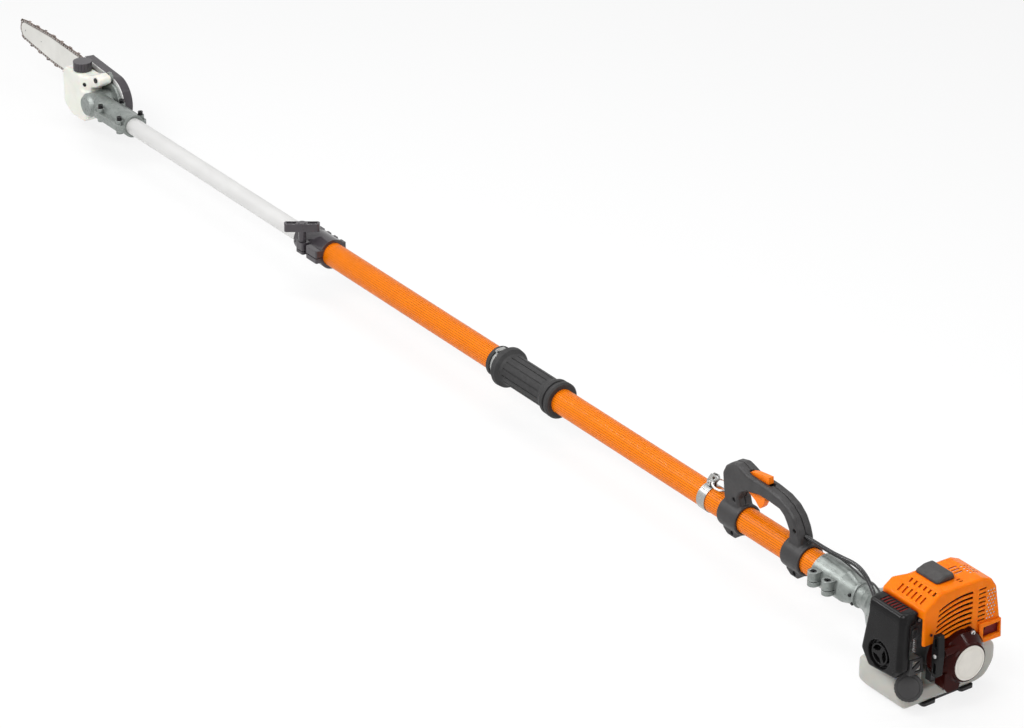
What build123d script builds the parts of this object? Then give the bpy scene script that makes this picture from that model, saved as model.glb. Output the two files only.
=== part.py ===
"""Telescoping petrol pole saw.

World frame in mm: +X runs along the pole towards the saw head, +Y is the
operator's left, +Z is up, and z = 0 is the ground under the engine stand.
The pole, the crankshaft and the drive shaft share one axis at AXIS_H.
"""
from build123d import *
from math import asin, atan2, cos, pi, radians, sin, sqrt, tan
import os

os.makedirs("parts", exist_ok=True)

# ---------------------------------------------------------------- main sizes
AXIS_H = 98.0            # pole and crank axis above the ground
FIT = 0.05               # radial clearance of a bore on its shaft or tube
GAP = 0.4                # air kept between separate moving pieces
WALL = 2.5               # moulded wall of the covers
FOOT_T = 6.0             # stand, flat on the ground under the fuel tank

TUBE_R = 25.0            # outer tube, outside radius
TUBE_WALL = 2.0
TUBE_X0 = 222.0          # rear end, seated in the socket
TUBE_X1 = 1926.0         # front end, inside the collar
INNER_R = 19.0           # sliding tube, outside radius
INNER_WALL = 1.6
INNER_X0 = 1500.0
INNER_X1 = 2790.0
TUBE_BORE_R = TUBE_R - TUBE_WALL
INNER_BORE_R = INNER_R - INNER_WALL

REAR_X = -100.0          # rear face of the recoil starter


def across(x):
    """Plane square to the pole at station x, centred on the axis."""
    return Plane(origin=(x, 0, AXIS_H), x_dir=(0, 1, 0), z_dir=(1, 0, 0))


def beside(y):
    """Upright plane along the pole at offset y; its normal points to -Y."""
    return Plane(origin=(0, y, AXIS_H), x_dir=(1, 0, 0), z_dir=(0, -1, 0))


def above(z):
    """Level plane at height z over the axis."""
    return Plane.XY.offset(AXIS_H + z)


def rows(count, pitch):
    """Centred positions of a row."""
    return [(i - (count - 1) / 2) * pitch for i in range(count)]


# ================================================================= tubes
FLUTES = 36
FLUTE_W = 1.2
FLUTE_D = 0.6
with BuildPart() as outer_tube:
    with BuildSketch(across(TUBE_X0)):
        Circle(TUBE_R)
        with PolarLocations(TUBE_R, FLUTES):
            Rectangle(2 * FLUTE_D, FLUTE_W, mode=Mode.SUBTRACT)
        Circle(TUBE_BORE_R, mode=Mode.SUBTRACT)
    extrude(amount=TUBE_X1 - TUBE_X0)
outer_tube.part.label = "outer_tube"

with BuildPart() as inner_tube:
    with BuildSketch(across(INNER_X0)):
        Circle(INNER_R)
        Circle(INNER_BORE_R, mode=Mode.SUBTRACT)
    extrude(amount=INNER_X1 - INNER_X0)
inner_tube.part.label = "inner_tube"

# plastic bush in the mouth of the outer tube, guides the sliding tube
BUSH_LEN = 60.0
with BuildPart() as mouth_bush:
    with BuildSketch(across(TUBE_X1 - BUSH_LEN)):
        Circle(TUBE_BORE_R)
        Circle(INNER_R + FIT, mode=Mode.SUBTRACT)
    extrude(amount=BUSH_LEN)
mouth_bush.part.label = "mouth_bush"

# bush on the tail of the sliding tube, runs inside the outer tube
with BuildPart() as tail_bush:
    with BuildSketch(across(INNER_X0)):
        Circle(TUBE_BORE_R - FIT)
        Circle(INNER_R, mode=Mode.SUBTRACT)
    extrude(amount=BUSH_LEN)
tail_bush.part.label = "tail_bush"

# ================================================================= drive line
HUB_R = 7.0              # lower drive tube, outside radius
ROD_AF = 8.0             # sliding square rod, across flats
DRUM_X0 = 66.0
DRUM_X1 = 98.0
DRUM_R = 38.0
DRUM_WALL = 2.0
DRIVE_X1 = 1800.0        # front end of the lower drive tube
BORE_X0 = 380.0          # the square bore starts here
# drive tube with the clutch drum welded to its rear end
with BuildPart() as drive_tube:
    with BuildSketch(across(DRUM_X1)):
        Circle(HUB_R)
    extrude(amount=DRIVE_X1 - DRUM_X1)
    with BuildSketch(across(DRUM_X0)):
        Circle(DRUM_R)
    extrude(amount=DRUM_X1 - DRUM_X0)
    with BuildSketch(across(DRUM_X0)):
        Circle(DRUM_R - DRUM_WALL)
    extrude(amount=DRUM_X1 - DRUM_X0 - DRUM_WALL, mode=Mode.SUBTRACT)
    with BuildSketch(across(BORE_X0)):
        Rectangle(ROD_AF + 4 * FIT, ROD_AF + 4 * FIT)
    extrude(amount=DRIVE_X1 - BORE_X0, mode=Mode.SUBTRACT)
drive_tube.part.label = "drive_tube"

GUIDE_LEN = 20.0
with BuildPart() as shaft_guide:
    with BuildSketch(across(DRIVE_X1 - GUIDE_LEN)):
        Circle(INNER_BORE_R - FIT)
        Circle(HUB_R, mode=Mode.SUBTRACT)
        with PolarLocations((INNER_BORE_R + HUB_R) / 2, 6):
            Circle(3.0, mode=Mode.SUBTRACT)
    extrude(amount=GUIDE_LEN)
shaft_guide.part.label = "shaft_guide"

# rubber-seated bushes hold the drive tube in the outer tube
BUSH_STATIONS = (330.0, 620.0)
with BuildPart() as shaft_bushes:
    for station in BUSH_STATIONS:
        with BuildSketch(across(station)):
            Circle(TUBE_BORE_R)
            Circle(HUB_R + FIT, mode=Mode.SUBTRACT)
            with PolarLocations((TUBE_BORE_R + HUB_R) / 2, 6):
                Circle(4.0, mode=Mode.SUBTRACT)
        extrude(amount=GUIDE_LEN)
shaft_bushes.part.label = "shaft_bushes"

# ================================================================= saw head sizes
HEAD_X = 2848.0          # sprocket and bevel gear axis
CLAMP_X0 = 2686.0
CLAMP_X1 = 2806.0
PINION_X1 = HEAD_X - 9.0
ROD_X0 = 1050.0
PINION_X0 = PINION_X1 - 12.0
# square rod that slides in the drive tube, with the bevel pinion at its front
with BuildPart() as pinion_rod:
    with BuildSketch(across(ROD_X0)):
        Rectangle(ROD_AF, ROD_AF)
    extrude(amount=PINION_X0 - ROD_X0)
    with BuildSketch(across(PINION_X0 - 8.0)):
        Circle(8.0)
    extrude(amount=8.0)
    with BuildSketch(across(PINION_X0)):
        Circle(9.0)
    with BuildSketch(across(PINION_X1)):
        Circle(6.0)
    loft()
pinion_rod.part.label = "pinion_rod"

# ================================================================= bar and chain sizes
PAD_Y = -38.0            # bar pad face; the bar lies against it
BAR_TILT = 2.6           # degrees, nose up
BAR_T = 4.4
BAR_Y1 = PAD_Y           # inner face
BAR_Y0 = BAR_Y1 - BAR_T
BAR_MID = (BAR_Y0 + BAR_Y1) / 2
BAR_RISE = 17.0          # bar centre line over the sprocket
BAR_HALF = 28.0
BAR_TAIL = 34.0
TAIL_TOP = 16.0          # the tail narrows inside the cover
TAIL_LOW = -10.0
TAIL_U = 140.0
STUD_U = BAR_TAIL + 32.0
STUD_RISE = 4.0
STUD_BAR_R = 4.0
NOSE_U = 401.0
NOSE_R = 19.0
TAPER_U = NOSE_U - 120.0  # the bar narrows from here to the nose
NOSE_LEAN = atan2(BAR_HALF, NOSE_U - TAPER_U) - asin(NOSE_R / sqrt(BAR_HALF ** 2 + (NOSE_U - TAPER_U) ** 2))
GROOVE_W = 1.7
GROOVE_D = 8.5
RIVET_RISE = 3.4         # rivet line over the rails
POST_R = 3.0             # bearing post of the nose sprocket
BAR_HOLE_R = 1.7
BAR_HOLE_U = 327.0
DIMPLE_D = 0.6
PITCH = 9.525
SPROCKET_PITCH_R = 18.4


def in_bar(y):
    """Plane of the bar at offset y: origin on the sprocket, x along the bar."""
    tilt = radians(BAR_TILT)
    return Plane(origin=(HEAD_X, y, AXIS_H), x_dir=(cos(tilt), 0, sin(tilt)), z_dir=(0, -1, 0))


# ================================================================= gear head
SLEEVE_R = 26.0          # clamp sleeve on the sliding tube
BULB_R = 27.0
BULB_Y0 = -31.0
BULB_Y1 = 31.0
BULB_NOSE = 8.0          # tapered end of the bulb
LUG_Y = 27.0
LUG_STATIONS = (2702.0, 2785.0)
LUG_R = 8.0
LUG_TOP = 16.0
BOLT_R = 3.0
BOLT_HEAD_R = 5.5
BOLT_HEAD_H = 8.0
CAVITY_R = 19.0
SPLIT = 0.6
OIL_LUG_R = 12.0
OIL_ARM_X = 2906.0       # the arm starts here and reaches back to the gearbox
OIL_ARM_Y = 0.0
OIL_SCREWS = ((2849.0, 54.0), (2894.0, 31.0))
OIL_SCREW_R = 2.0
OIL_SCREW_END = BULB_Y0 - 4.0
OIL_SCREW_LEN = OIL_ARM_Y - OIL_SCREW_END
with BuildPart() as gear_head:
    # clamp sleeve, upper half, with its side flanges
    with BuildSketch(across(CLAMP_X0)):
        Circle(SLEEVE_R)
    extrude(amount=HEAD_X - CLAMP_X0 - 10.0)
    with BuildSketch(above(-9.0)):
        with Locations(((CLAMP_X0 + CLAMP_X1) / 2, 0)):
            RectangleRounded(CLAMP_X1 - CLAMP_X0, 2 * (LUG_Y + LUG_R), 7.0)
    extrude(amount=9.0 + LUG_TOP - 9.0)
    with BuildSketch(above(0)):
        for station in LUG_STATIONS:
            with Locations((station, LUG_Y), (station, -LUG_Y)):
                Circle(LUG_R)
    extrude(amount=LUG_TOP)
    # gearbox bulb along Y and the bar pad
    with BuildSketch(beside(BULB_Y1 - BULB_NOSE)):
        with Locations((HEAD_X, 0)):
            Circle(BULB_R)
    extrude(amount=BULB_Y1 - BULB_NOSE - BULB_Y0)
    with BuildSketch(beside(BULB_Y1 - BULB_NOSE)):
        with Locations((HEAD_X, 0)):
            Circle(BULB_R)
    extrude(amount=-BULB_NOSE, taper=35.0)
    with BuildSketch(beside(BULB_Y0)):
        with Locations((HEAD_X, 0)):
            Circle(44.0)
        with Locations((HEAD_X + 55.0, 16.0)):
            RectangleRounded(120.0, 56.0, 10.0)
        with Locations(OIL_SCREWS[0]):
            Circle(OIL_LUG_R)
    extrude(amount=BULB_Y0 - PAD_Y)
    # lower clamp half is a separate piece
    with BuildSketch(above(SPLIT)):
        with Locations(((CLAMP_X0 + CLAMP_X1) / 2 - 5.0, 0)):
            Rectangle(CLAMP_X1 - CLAMP_X0 + 10.0, 90.0)
    extrude(amount=-60.0, mode=Mode.SUBTRACT)
    # tube bore, gear cavity, shaft bore
    with BuildSketch(across(CLAMP_X0 - 1.0)):
        Circle(INNER_R)
    extrude(amount=INNER_X1 + 1.0 - CLAMP_X0, mode=Mode.SUBTRACT)
    with BuildSketch(across(INNER_X1)):
        Circle(12.0)
    extrude(amount=HEAD_X - INNER_X1, mode=Mode.SUBTRACT)
    with BuildSketch(beside(22.0)):
        with Locations((HEAD_X, 0)):
            Circle(CAVITY_R)
    extrude(amount=44.0, mode=Mode.SUBTRACT)
    with BuildSketch(beside(-21.0)):
        with Locations((HEAD_X, 0)):
            Circle(6.0)
    extrude(amount=30.0, mode=Mode.SUBTRACT)
    with BuildSketch(above(-1.0)):
        for station in LUG_STATIONS:
            with Locations((station, LUG_Y), (station, -LUG_Y)):
                Circle(BOLT_R + FIT)
    extrude(amount=30.0, mode=Mode.SUBTRACT)
    with BuildSketch(above(LUG_TOP)):
        for station in LUG_STATIONS:
            with Locations((station, LUG_Y), (station, -LUG_Y)):
                Circle(BOLT_HEAD_R + 0.8)
    extrude(amount=20.0, mode=Mode.SUBTRACT)
    # recess for the sprocket and seat of the bar stud
    with BuildSketch(beside(PAD_Y + 3.5)):
        with Locations((HEAD_X, 0)):
            Circle(SPROCKET_PITCH_R + 1.0)
    extrude(amount=3.5, mode=Mode.SUBTRACT)
    with BuildSketch(in_bar(BULB_Y0)):
        with Locations((STUD_U, STUD_RISE)):
            Circle(STUD_BAR_R)
    extrude(amount=BULB_Y0 - PAD_Y, mode=Mode.SUBTRACT)
    with BuildSketch(beside(BULB_Y0)):
        with Locations(*OIL_SCREWS):
            Circle(OIL_SCREW_R)
    extrude(amount=BULB_Y0 - OIL_SCREW_END, mode=Mode.SUBTRACT)
gear_head.part.label = "gear_head"

with BuildPart() as head_clamp:
    with BuildSketch(across(CLAMP_X0)):
        Circle(SLEEVE_R)
    extrude(amount=CLAMP_X1 - CLAMP_X0)
    with BuildSketch(above(-9.0)):
        with Locations(((CLAMP_X0 + CLAMP_X1) / 2, 0)):
            RectangleRounded(CLAMP_X1 - CLAMP_X0, 2 * (LUG_Y + LUG_R), 7.0)
    extrude(amount=9.0)
    with BuildSketch(above(-15.0)):
        for station in LUG_STATIONS:
            with Locations((station, LUG_Y), (station, -LUG_Y)):
                Circle(LUG_R)
    extrude(amount=15.0)
    with BuildSketch(above(0)):
        with Locations(((CLAMP_X0 + CLAMP_X1) / 2, 0)):
            Rectangle(CLAMP_X1 - CLAMP_X0 + 4.0, 90.0)
    extrude(amount=60.0, mode=Mode.SUBTRACT)
    with BuildSketch(across(CLAMP_X0 - 1.0)):
        Circle(INNER_R)
    extrude(amount=CLAMP_X1 - CLAMP_X0 + 2.0, mode=Mode.SUBTRACT)
    with BuildSketch(above(-20.0)):
        for station in LUG_STATIONS:
            with Locations((station, LUG_Y), (station, -LUG_Y)):
                Circle(BOLT_R + FIT)
    extrude(amount=21.0, mode=Mode.SUBTRACT)
head_clamp.part.label = "head_clamp"

with BuildPart() as head_bolts:
    for station in LUG_STATIONS:
        for side in (1, -1):
            with BuildSketch(above(-14.0)):
                with Locations((station, side * LUG_Y)):
                    Circle(BOLT_R)
            extrude(amount=14.0 + LUG_TOP)
            with BuildSketch(above(LUG_TOP)):
                with Locations((station, side * LUG_Y)):
                    Circle(BOLT_HEAD_R)
                    RegularPolygon(2.6, 6, mode=Mode.SUBTRACT)
            extrude(amount=BOLT_HEAD_H)
            with BuildSketch(above(LUG_TOP)):
                with Locations((station, side * LUG_Y)):
                    Circle(BOLT_R)
            extrude(amount=2.5)
head_bolts.part.label = "head_bolts"

SPROCKET_SHAFT_R = 5.0
# bevel gear and its cross shaft, which carries the drive sprocket
with BuildPart() as bevel_gear:
    with BuildSketch(beside(18.0)):
        with Locations((HEAD_X, 0)):
            Circle(17.0)
    with BuildSketch(beside(11.0)):
        with Locations((HEAD_X, 0)):
            Circle(13.0)
    loft()
    with BuildSketch(beside(18.0)):
        with Locations((HEAD_X, 0)):
            Circle(SPROCKET_SHAFT_R)
    extrude(amount=18.0 + 55.0)
bevel_gear.part.label = "bevel_gear"

def bar_points(grow):
    """Corner points of the bar outline grown by grow, from the lower nose tangent to the tip."""
    top = BAR_RISE + BAR_HALF + grow
    low = BAR_RISE - BAR_HALF - grow
    nose = NOSE_R + grow
    along, out = nose * sin(NOSE_LEAN), nose * cos(NOSE_LEAN)
    tail = BAR_TAIL - grow
    straight = ((NOSE_U + along, BAR_RISE - out), (TAPER_U, low), (TAIL_U, low), (tail, TAIL_LOW - grow),
                (tail, TAIL_TOP + grow), (TAIL_U, top), (TAPER_U, top), (NOSE_U + along, BAR_RISE + out))
    return straight, (NOSE_U + nose, BAR_RISE)


with BuildPart() as guide_bar:
    with BuildSketch(in_bar(BAR_Y1)):
        corners, tip = bar_points(0.0)
        with BuildLine():
            Polyline(*corners)
            ThreePointArc(corners[-1], tip, corners[0])
        make_face()
    extrude(amount=BAR_T)
    with BuildSketch(in_bar(BAR_MID + GROOVE_W / 2)):
        corners, tip = bar_points(1.0)
        with BuildLine():
            Polyline(*corners)
            ThreePointArc(corners[-1], tip, corners[0])
        make_face()
        corners, tip = bar_points(-GROOVE_D)
        with BuildLine():
            Polyline(*corners)
            ThreePointArc(corners[-1], tip, corners[0])
        make_face(mode=Mode.SUBTRACT)
        with Locations((NOSE_U, BAR_RISE)):
            Circle(NOSE_R - 3.6)
            Circle(POST_R, mode=Mode.SUBTRACT)
    extrude(amount=GROOVE_W, mode=Mode.SUBTRACT)
    # stud slot at the tail
    with BuildSketch(in_bar(BAR_Y1)):
        with Locations((STUD_U, STUD_RISE)):
            SlotOverall(44.0, 2 * STUD_BAR_R + 0.4)
        with Locations((BAR_HOLE_U, BAR_RISE)):
            Circle(BAR_HOLE_R)
    extrude(amount=BAR_T, mode=Mode.SUBTRACT)
    # dimples of the riveted nose bearing
    for y in (BAR_Y1, BAR_Y0 + DIMPLE_D):
        with BuildSketch(in_bar(y)):
            with Locations((NOSE_U, BAR_RISE)):
                Circle(BAR_HOLE_R)
        extrude(amount=DIMPLE_D, mode=Mode.SUBTRACT)
guide_bar.part.label = "guide_bar"

with BuildPart() as nose_sprocket:
    with BuildSketch(in_bar(BAR_MID + GROOVE_W / 2 - 0.1)):
        with Locations((NOSE_U, BAR_RISE)):
            Circle(NOSE_R - 8.5)
            with PolarLocations(NOSE_R - 8.5, 9):
                Rectangle(6.4, 3.0)
            Circle(POST_R + FIT, mode=Mode.SUBTRACT)
    extrude(amount=GROOVE_W - 0.2)
nose_sprocket.part.label = "nose_sprocket"


def chain_stations():
    """Rivet centres round the bar and the drive sprocket, evenly spaced."""
    r = NOSE_R + RIVET_RISE
    top = BAR_RISE + BAR_HALF + RIVET_RISE
    low = BAR_RISE - BAR_HALF - RIVET_RISE
    loop = []
    for i in range(25):
        a = radians(90 + 180 * i / 24)
        loop.append((SPROCKET_PITCH_R * cos(a), SPROCKET_PITCH_R * sin(a)))
    loop += [(TAIL_U, low), (TAPER_U, low)]
    for i in range(25):
        a = -pi / 2 + NOSE_LEAN + (pi - 2 * NOSE_LEAN) * i / 24
        loop.append((NOSE_U + r * cos(a), BAR_RISE + r * sin(a)))
    loop += [(TAPER_U, top), (TAIL_U, top), loop[0]]
    seg = [sqrt((q[0] - p[0]) ** 2 + (q[1] - p[1]) ** 2) for p, q in zip(loop, loop[1:])]
    total = sum(seg)
    count = 2 * round(total / PITCH / 2)
    pts = []
    at, i, done = 0.0, 0, 0.0
    for k in range(count):
        at = total * k / count
        while at > done + seg[i]:
            done += seg[i]
            i += 1
        f = (at - done) / seg[i]
        p, q = loop[i], loop[i + 1]
        pts.append((p[0] + f * (q[0] - p[0]), p[1] + f * (q[1] - p[1])))
    return pts


RIVETS = chain_stations()
DRIVE_T = 1.3
STRAP_T = 1.2
TANG = 6.6


def link_shape(p, q, shape):
    """Polygon of one link laid from rivet p to rivet q; +v points outwards."""
    length = sqrt((q[0] - p[0]) ** 2 + (q[1] - p[1]) ** 2)
    ux, uy = (q[0] - p[0]) / length, (q[1] - p[1]) / length
    return [(p[0] + a * length * ux + v * uy, p[1] + a * length * uy - v * ux) for a, v in shape]


DRIVE_SHAPE = ((-0.32, 2.4), (-0.32, -2.6), (0.25, -TANG), (0.6, -TANG), (1.32, -2.6), (1.32, 2.4), (0.8, 4.4),
               (0.3, 4.4))
STRAP_SHAPE = ((-0.33, -2.6), (1.33, -2.6), (1.33, 1.6), (0.9, 3.0), (0.1, 3.0), (-0.33, 1.6))
CUTTER_SHAPE = ((-0.33, -2.6), (1.33, -2.6), (1.33, 2.6), (1.1, 6.8), (0.25, 6.4), (0.1, 3.0), (-0.2, 6.0),
                (-0.4, 2.0))
TOP_PLATE = ((0.21, 5.3), (1.14, 5.7), (1.1, 6.8), (0.25, 6.4))
CUTTER_EVERY = 4
NEXT = RIVETS[1:] + RIVETS[:1]
with BuildPart() as saw_chain:
    with BuildSketch(in_bar(BAR_MID + DRIVE_T / 2)):
        for k in range(0, len(RIVETS), 2):
            with BuildLine():
                Polyline(*link_shape(RIVETS[k], NEXT[k], DRIVE_SHAPE), close=True)
            make_face()
    extrude(amount=DRIVE_T)
    for y, first in ((BAR_MID + DRIVE_T / 2 + STRAP_T, 1), (BAR_MID - DRIVE_T / 2, 1 + CUTTER_EVERY)):
        with BuildSketch(in_bar(y)):
            for k in range(1, len(RIVETS), 2):
                shape = CUTTER_SHAPE if k % (2 * CUTTER_EVERY) == first else STRAP_SHAPE
                with BuildLine():
                    Polyline(*link_shape(RIVETS[k], NEXT[k], shape), close=True)
                make_face()
        extrude(amount=STRAP_T)
    # top plates of the cutters reach across the chain
    with BuildSketch(in_bar(BAR_MID + DRIVE_T / 2 + STRAP_T)):
        for k in range(1, len(RIVETS), CUTTER_EVERY):
            with BuildLine():
                Polyline(*link_shape(RIVETS[k], NEXT[k], TOP_PLATE), close=True)
            make_face()
    extrude(amount=DRIVE_T + 2 * STRAP_T)
saw_chain.part.label = "saw_chain"

with BuildPart() as drive_sprocket:
    with BuildSketch(beside(BAR_MID + 5.0)):
        with Locations((HEAD_X, 0)):
            Circle(SPROCKET_PITCH_R - TANG - 1.4)
    extrude(amount=10.0)
    with BuildSketch(beside(BAR_MID + 5.0)):
        with Locations((HEAD_X, 0)):
            Circle(SPROCKET_SHAFT_R)
    extrude(amount=10.0, mode=Mode.SUBTRACT)
    for y in (BAR_MID + 5.0, BAR_MID - 3.5):
        with BuildSketch(beside(y)):
            with Locations((HEAD_X, 0)):
                Circle(SPROCKET_PITCH_R - 4.0)
                Circle(SPROCKET_SHAFT_R, mode=Mode.SUBTRACT)
        extrude(amount=1.5)
drive_sprocket.part.label = "drive_sprocket"

# ================================================================= sprocket cover
COVER_Y1 = -40.5
COVER_Y0 = -61.0
COVER_R = 53.0
with BuildPart() as sprocket_cover:
    with BuildSketch(in_bar(COVER_Y1)):
        with BuildLine():
            Polyline((0, COVER_R), (122.0, COVER_R + 4.0), (156.0, COVER_R - 12.0), (156.0, -14.0),
                     (130.0, -34.0), (0, -COVER_R))
            ThreePointArc((0, -COVER_R), (-COVER_R, 0), (0, COVER_R))
        make_face()
    extrude(amount=COVER_Y1 - COVER_Y0)
    with BuildSketch(in_bar(COVER_Y1)):
        with BuildLine():
            Polyline((0, COVER_R - WALL), (122.0, COVER_R + 4.0 - WALL), (170.0, COVER_R + 4.0 - WALL),
                     (170.0, -31.0), (128.0, -31.0), (0, -COVER_R + WALL))
            ThreePointArc((0, -COVER_R + WALL), (-COVER_R + WALL, 0), (0, COVER_R - WALL))
        make_face()
    extrude(amount=COVER_Y1 - COVER_Y0 - WALL, mode=Mode.SUBTRACT)
    with BuildSketch(in_bar(BAR_Y0)):
        with Locations((STUD_U, STUD_RISE)):
            Circle(9.0)
    extrude(amount=BAR_Y0 - COVER_Y0)
    with BuildSketch(in_bar(BAR_Y0)):
        with Locations((STUD_U, STUD_RISE)):
            Circle(STUD_BAR_R + FIT)
    extrude(amount=30.0, mode=Mode.SUBTRACT)
sprocket_cover.part.label = "sprocket_cover"

with BuildPart() as bar_nut:
    with BuildSketch(in_bar(BULB_Y0)):
        with Locations((STUD_U, STUD_RISE)):
            Circle(STUD_BAR_R)
    extrude(amount=BULB_Y0 - COVER_Y0 + 12.0)
    with BuildSketch(in_bar(COVER_Y0)):
        with Locations((STUD_U, STUD_RISE)):
            Circle(9.0)
    extrude(amount=1.5)
    with BuildSketch(in_bar(COVER_Y0 - 1.5)):
        with Locations((STUD_U, STUD_RISE)):
            RegularPolygon(7.5, 6)
    extrude(amount=7.0)
bar_nut.part.label = "bar_nut"

# ================================================================= oil tank
TANK_Y1 = 12.0
TANK_Y0 = BULB_Y0
OIL_CAP_X = 2925.0
OIL_CAP_Y = -9.0
OIL_CAP_R = 21.5
OIL_TOP = 50.0
with BuildPart() as oil_tank:
    with BuildSketch(beside(TANK_Y1)):
        with BuildLine():
            Polyline((2876.0, 26.0), (2876.0, -46.0), (2896.0, -60.0), (2950.0, -60.0), (2984.0, -40.0),
                     (2984.0, 38.0), (2972.0, OIL_TOP), (2884.0, 53.5), (2852.0, 65.0), (2834.0, 62.0),
                     (2832.0, 48.0), (2850.0, 36.0), close=True)
        make_face()
        fillet(vertices(), 6.0)
    extrude(amount=TANK_Y1 - TANK_Y0)
    # the arm over the gearbox is set back
    with BuildSketch(beside(TANK_Y1 + 1.0)):
        with Locations((OIL_ARM_X - 60.0, 45.0)):
            Rectangle(120.0, 60.0)
    extrude(amount=TANK_Y1 + 1.0 - OIL_ARM_Y, mode=Mode.SUBTRACT)
    with BuildSketch(beside(TANK_Y1 + 1.0)):
        with Locations((HEAD_X, 0)):
            Circle(BULB_R + GAP)
    extrude(amount=TANK_Y1 - TANK_Y0 + 2.0, mode=Mode.SUBTRACT)
    with BuildSketch(above(OIL_TOP - 6.0)):
        with Locations((OIL_CAP_X, OIL_CAP_Y)):
            Circle(17.0)
    extrude(amount=10.0)
    with BuildSketch(above(OIL_TOP + 4.0)):
        with Locations((OIL_CAP_X, OIL_CAP_Y)):
            Circle(12.0)
    extrude(amount=-40.0, mode=Mode.SUBTRACT)
    with BuildSketch(beside(TANK_Y1 - WALL)):
        with Locations((2944.0, -4.0)):
            RectangleRounded(70.0, 84.0, 10.0)
    extrude(amount=TANK_Y1 - TANK_Y0 - 2 * WALL, mode=Mode.SUBTRACT)
    with BuildSketch(beside(OIL_ARM_Y)):
        with Locations(*OIL_SCREWS):
            Circle(OIL_SCREW_R)
    extrude(amount=OIL_SCREW_LEN, mode=Mode.SUBTRACT)
oil_tank.part.label = "oil_tank"

with BuildPart() as oil_cap:
    with BuildSketch(above(OIL_TOP + 4.0)):
        with Locations((OIL_CAP_X, OIL_CAP_Y)):
            Circle(OIL_CAP_R)
            with PolarLocations(OIL_CAP_R, 20):
                Circle(0.9, mode=Mode.SUBTRACT)
    extrude(amount=20.0)
    with BuildSketch(above(OIL_TOP + 4.0)):
        with Locations((OIL_CAP_X, OIL_CAP_Y)):
            Circle(12.0 - FIT)
    extrude(amount=-8.0)
oil_cap.part.label = "oil_cap"

with BuildPart() as oil_screws:
    with BuildSketch(beside(OIL_ARM_Y)):
        with Locations(*OIL_SCREWS):
            Circle(OIL_SCREW_R)
    extrude(amount=OIL_SCREW_LEN)
    with BuildSketch(beside(OIL_ARM_Y + 3.0)):
        with Locations(*OIL_SCREWS):
            Circle(5.8)
    extrude(amount=3.0)
    with BuildSketch(beside(OIL_ARM_Y + 3.0)):
        with Locations(*OIL_SCREWS):
            RegularPolygon(2.4, 6)
    extrude(amount=2.0, mode=Mode.SUBTRACT)
oil_screws.part.label = "oil_screws"

# ================================================================= collar
COLLAR_X0 = 1872.0
COLLAR_X1 = 1978.0
COLLAR_R = TUBE_R + 7.0
NECK_R = INNER_R + 10.0
KNOB_X = 1930.0
KNOB_Y = 37.0
STUD_R = 4.0
REAR_LUG = (-11.0, 16.0)  # bottom and top of the lugs from the axis
KNOB_LUG = (-7.0, 18.0)
RIB_X0 = 1882.0
RIB_H = 14.0
with BuildPart() as telescope_collar:
    with BuildSketch(across(COLLAR_X0)):
        Circle(COLLAR_R)
    extrude(amount=TUBE_X1 + 8.0 - COLLAR_X0)
    with BuildSketch(across(TUBE_X1)):
        Circle(NECK_R)
    extrude(amount=COLLAR_X1 - TUBE_X1)
    # rear lug grips the outer tube, front lug carries the knob stud
    with BuildSketch(above(REAR_LUG[0])):
        with Locations((COLLAR_X0 + 19.0, 30.0)):
            RectangleRounded(40.0, 24.0, 3.0)
    extrude(amount=REAR_LUG[1] - REAR_LUG[0])
    with BuildSketch(above(KNOB_LUG[0])):
        with Locations((KNOB_X, 33.0)):
            RectangleRounded(26.0, 26.0, 4.0)
    extrude(amount=KNOB_LUG[1] - KNOB_LUG[0])
    with BuildSketch(above(0)):
        with Locations(((RIB_X0 + COLLAR_X1) / 2, -31.0)):
            Rectangle(COLLAR_X1 - RIB_X0, 14.0)
            with Locations(*[(x, -6.0) for x in rows(3, 25.0)]):
                Rectangle(13.0, 6.0, mode=Mode.SUBTRACT)
    extrude(amount=RIB_H)
    with BuildSketch(across(COLLAR_X0 - 4.0)):
        Circle(TUBE_R)
    extrude(amount=TUBE_X1 - COLLAR_X0 + 4.0, mode=Mode.SUBTRACT)
    with BuildSketch(across(TUBE_X1)):
        Circle(INNER_R + FIT)
    extrude(amount=COLLAR_X1 - TUBE_X1, mode=Mode.SUBTRACT)
    # clamping slit on the knob side
    with BuildSketch(above(-1.0)):
        with Locations((0.5 * (COLLAR_X0 + COLLAR_X1), 36.0)):
            Rectangle(COLLAR_X1 - COLLAR_X0 + 4.0, 28.0)
    extrude(amount=2.0, mode=Mode.SUBTRACT)
    with BuildSketch(above(KNOB_LUG[0])):
        with Locations((KNOB_X, KNOB_Y)):
            Circle(STUD_R + FIT)
    extrude(amount=KNOB_LUG[1] - KNOB_LUG[0], mode=Mode.SUBTRACT)
telescope_collar.part.label = "telescope_collar"

KNOB_Z0 = KNOB_LUG[1] + GAP
with BuildPart() as wing_knob:
    with BuildSketch(above(KNOB_LUG[0])):
        with Locations((KNOB_X, KNOB_Y)):
            Circle(STUD_R)
    extrude(amount=KNOB_Z0 - KNOB_LUG[0] + 10.0)
    with BuildSketch(above(KNOB_Z0)):
        with Locations((KNOB_X, KNOB_Y)):
            Circle(8.0)
    extrude(amount=42.0)
    with BuildSketch(above(KNOB_Z0 + 23.0)):
        with Locations(Location((KNOB_X, KNOB_Y, 0), (0, 0, 54.7))):
            RectangleRounded(74.0, 15.0, 6.0)
            with Locations((22.0, 0), (-22.0, 0)):
                RectangleRounded(20.0, 8.0, 2.0, mode=Mode.SUBTRACT)
    extrude(amount=18.0)
wing_knob.part.label = "wing_knob"

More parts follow.
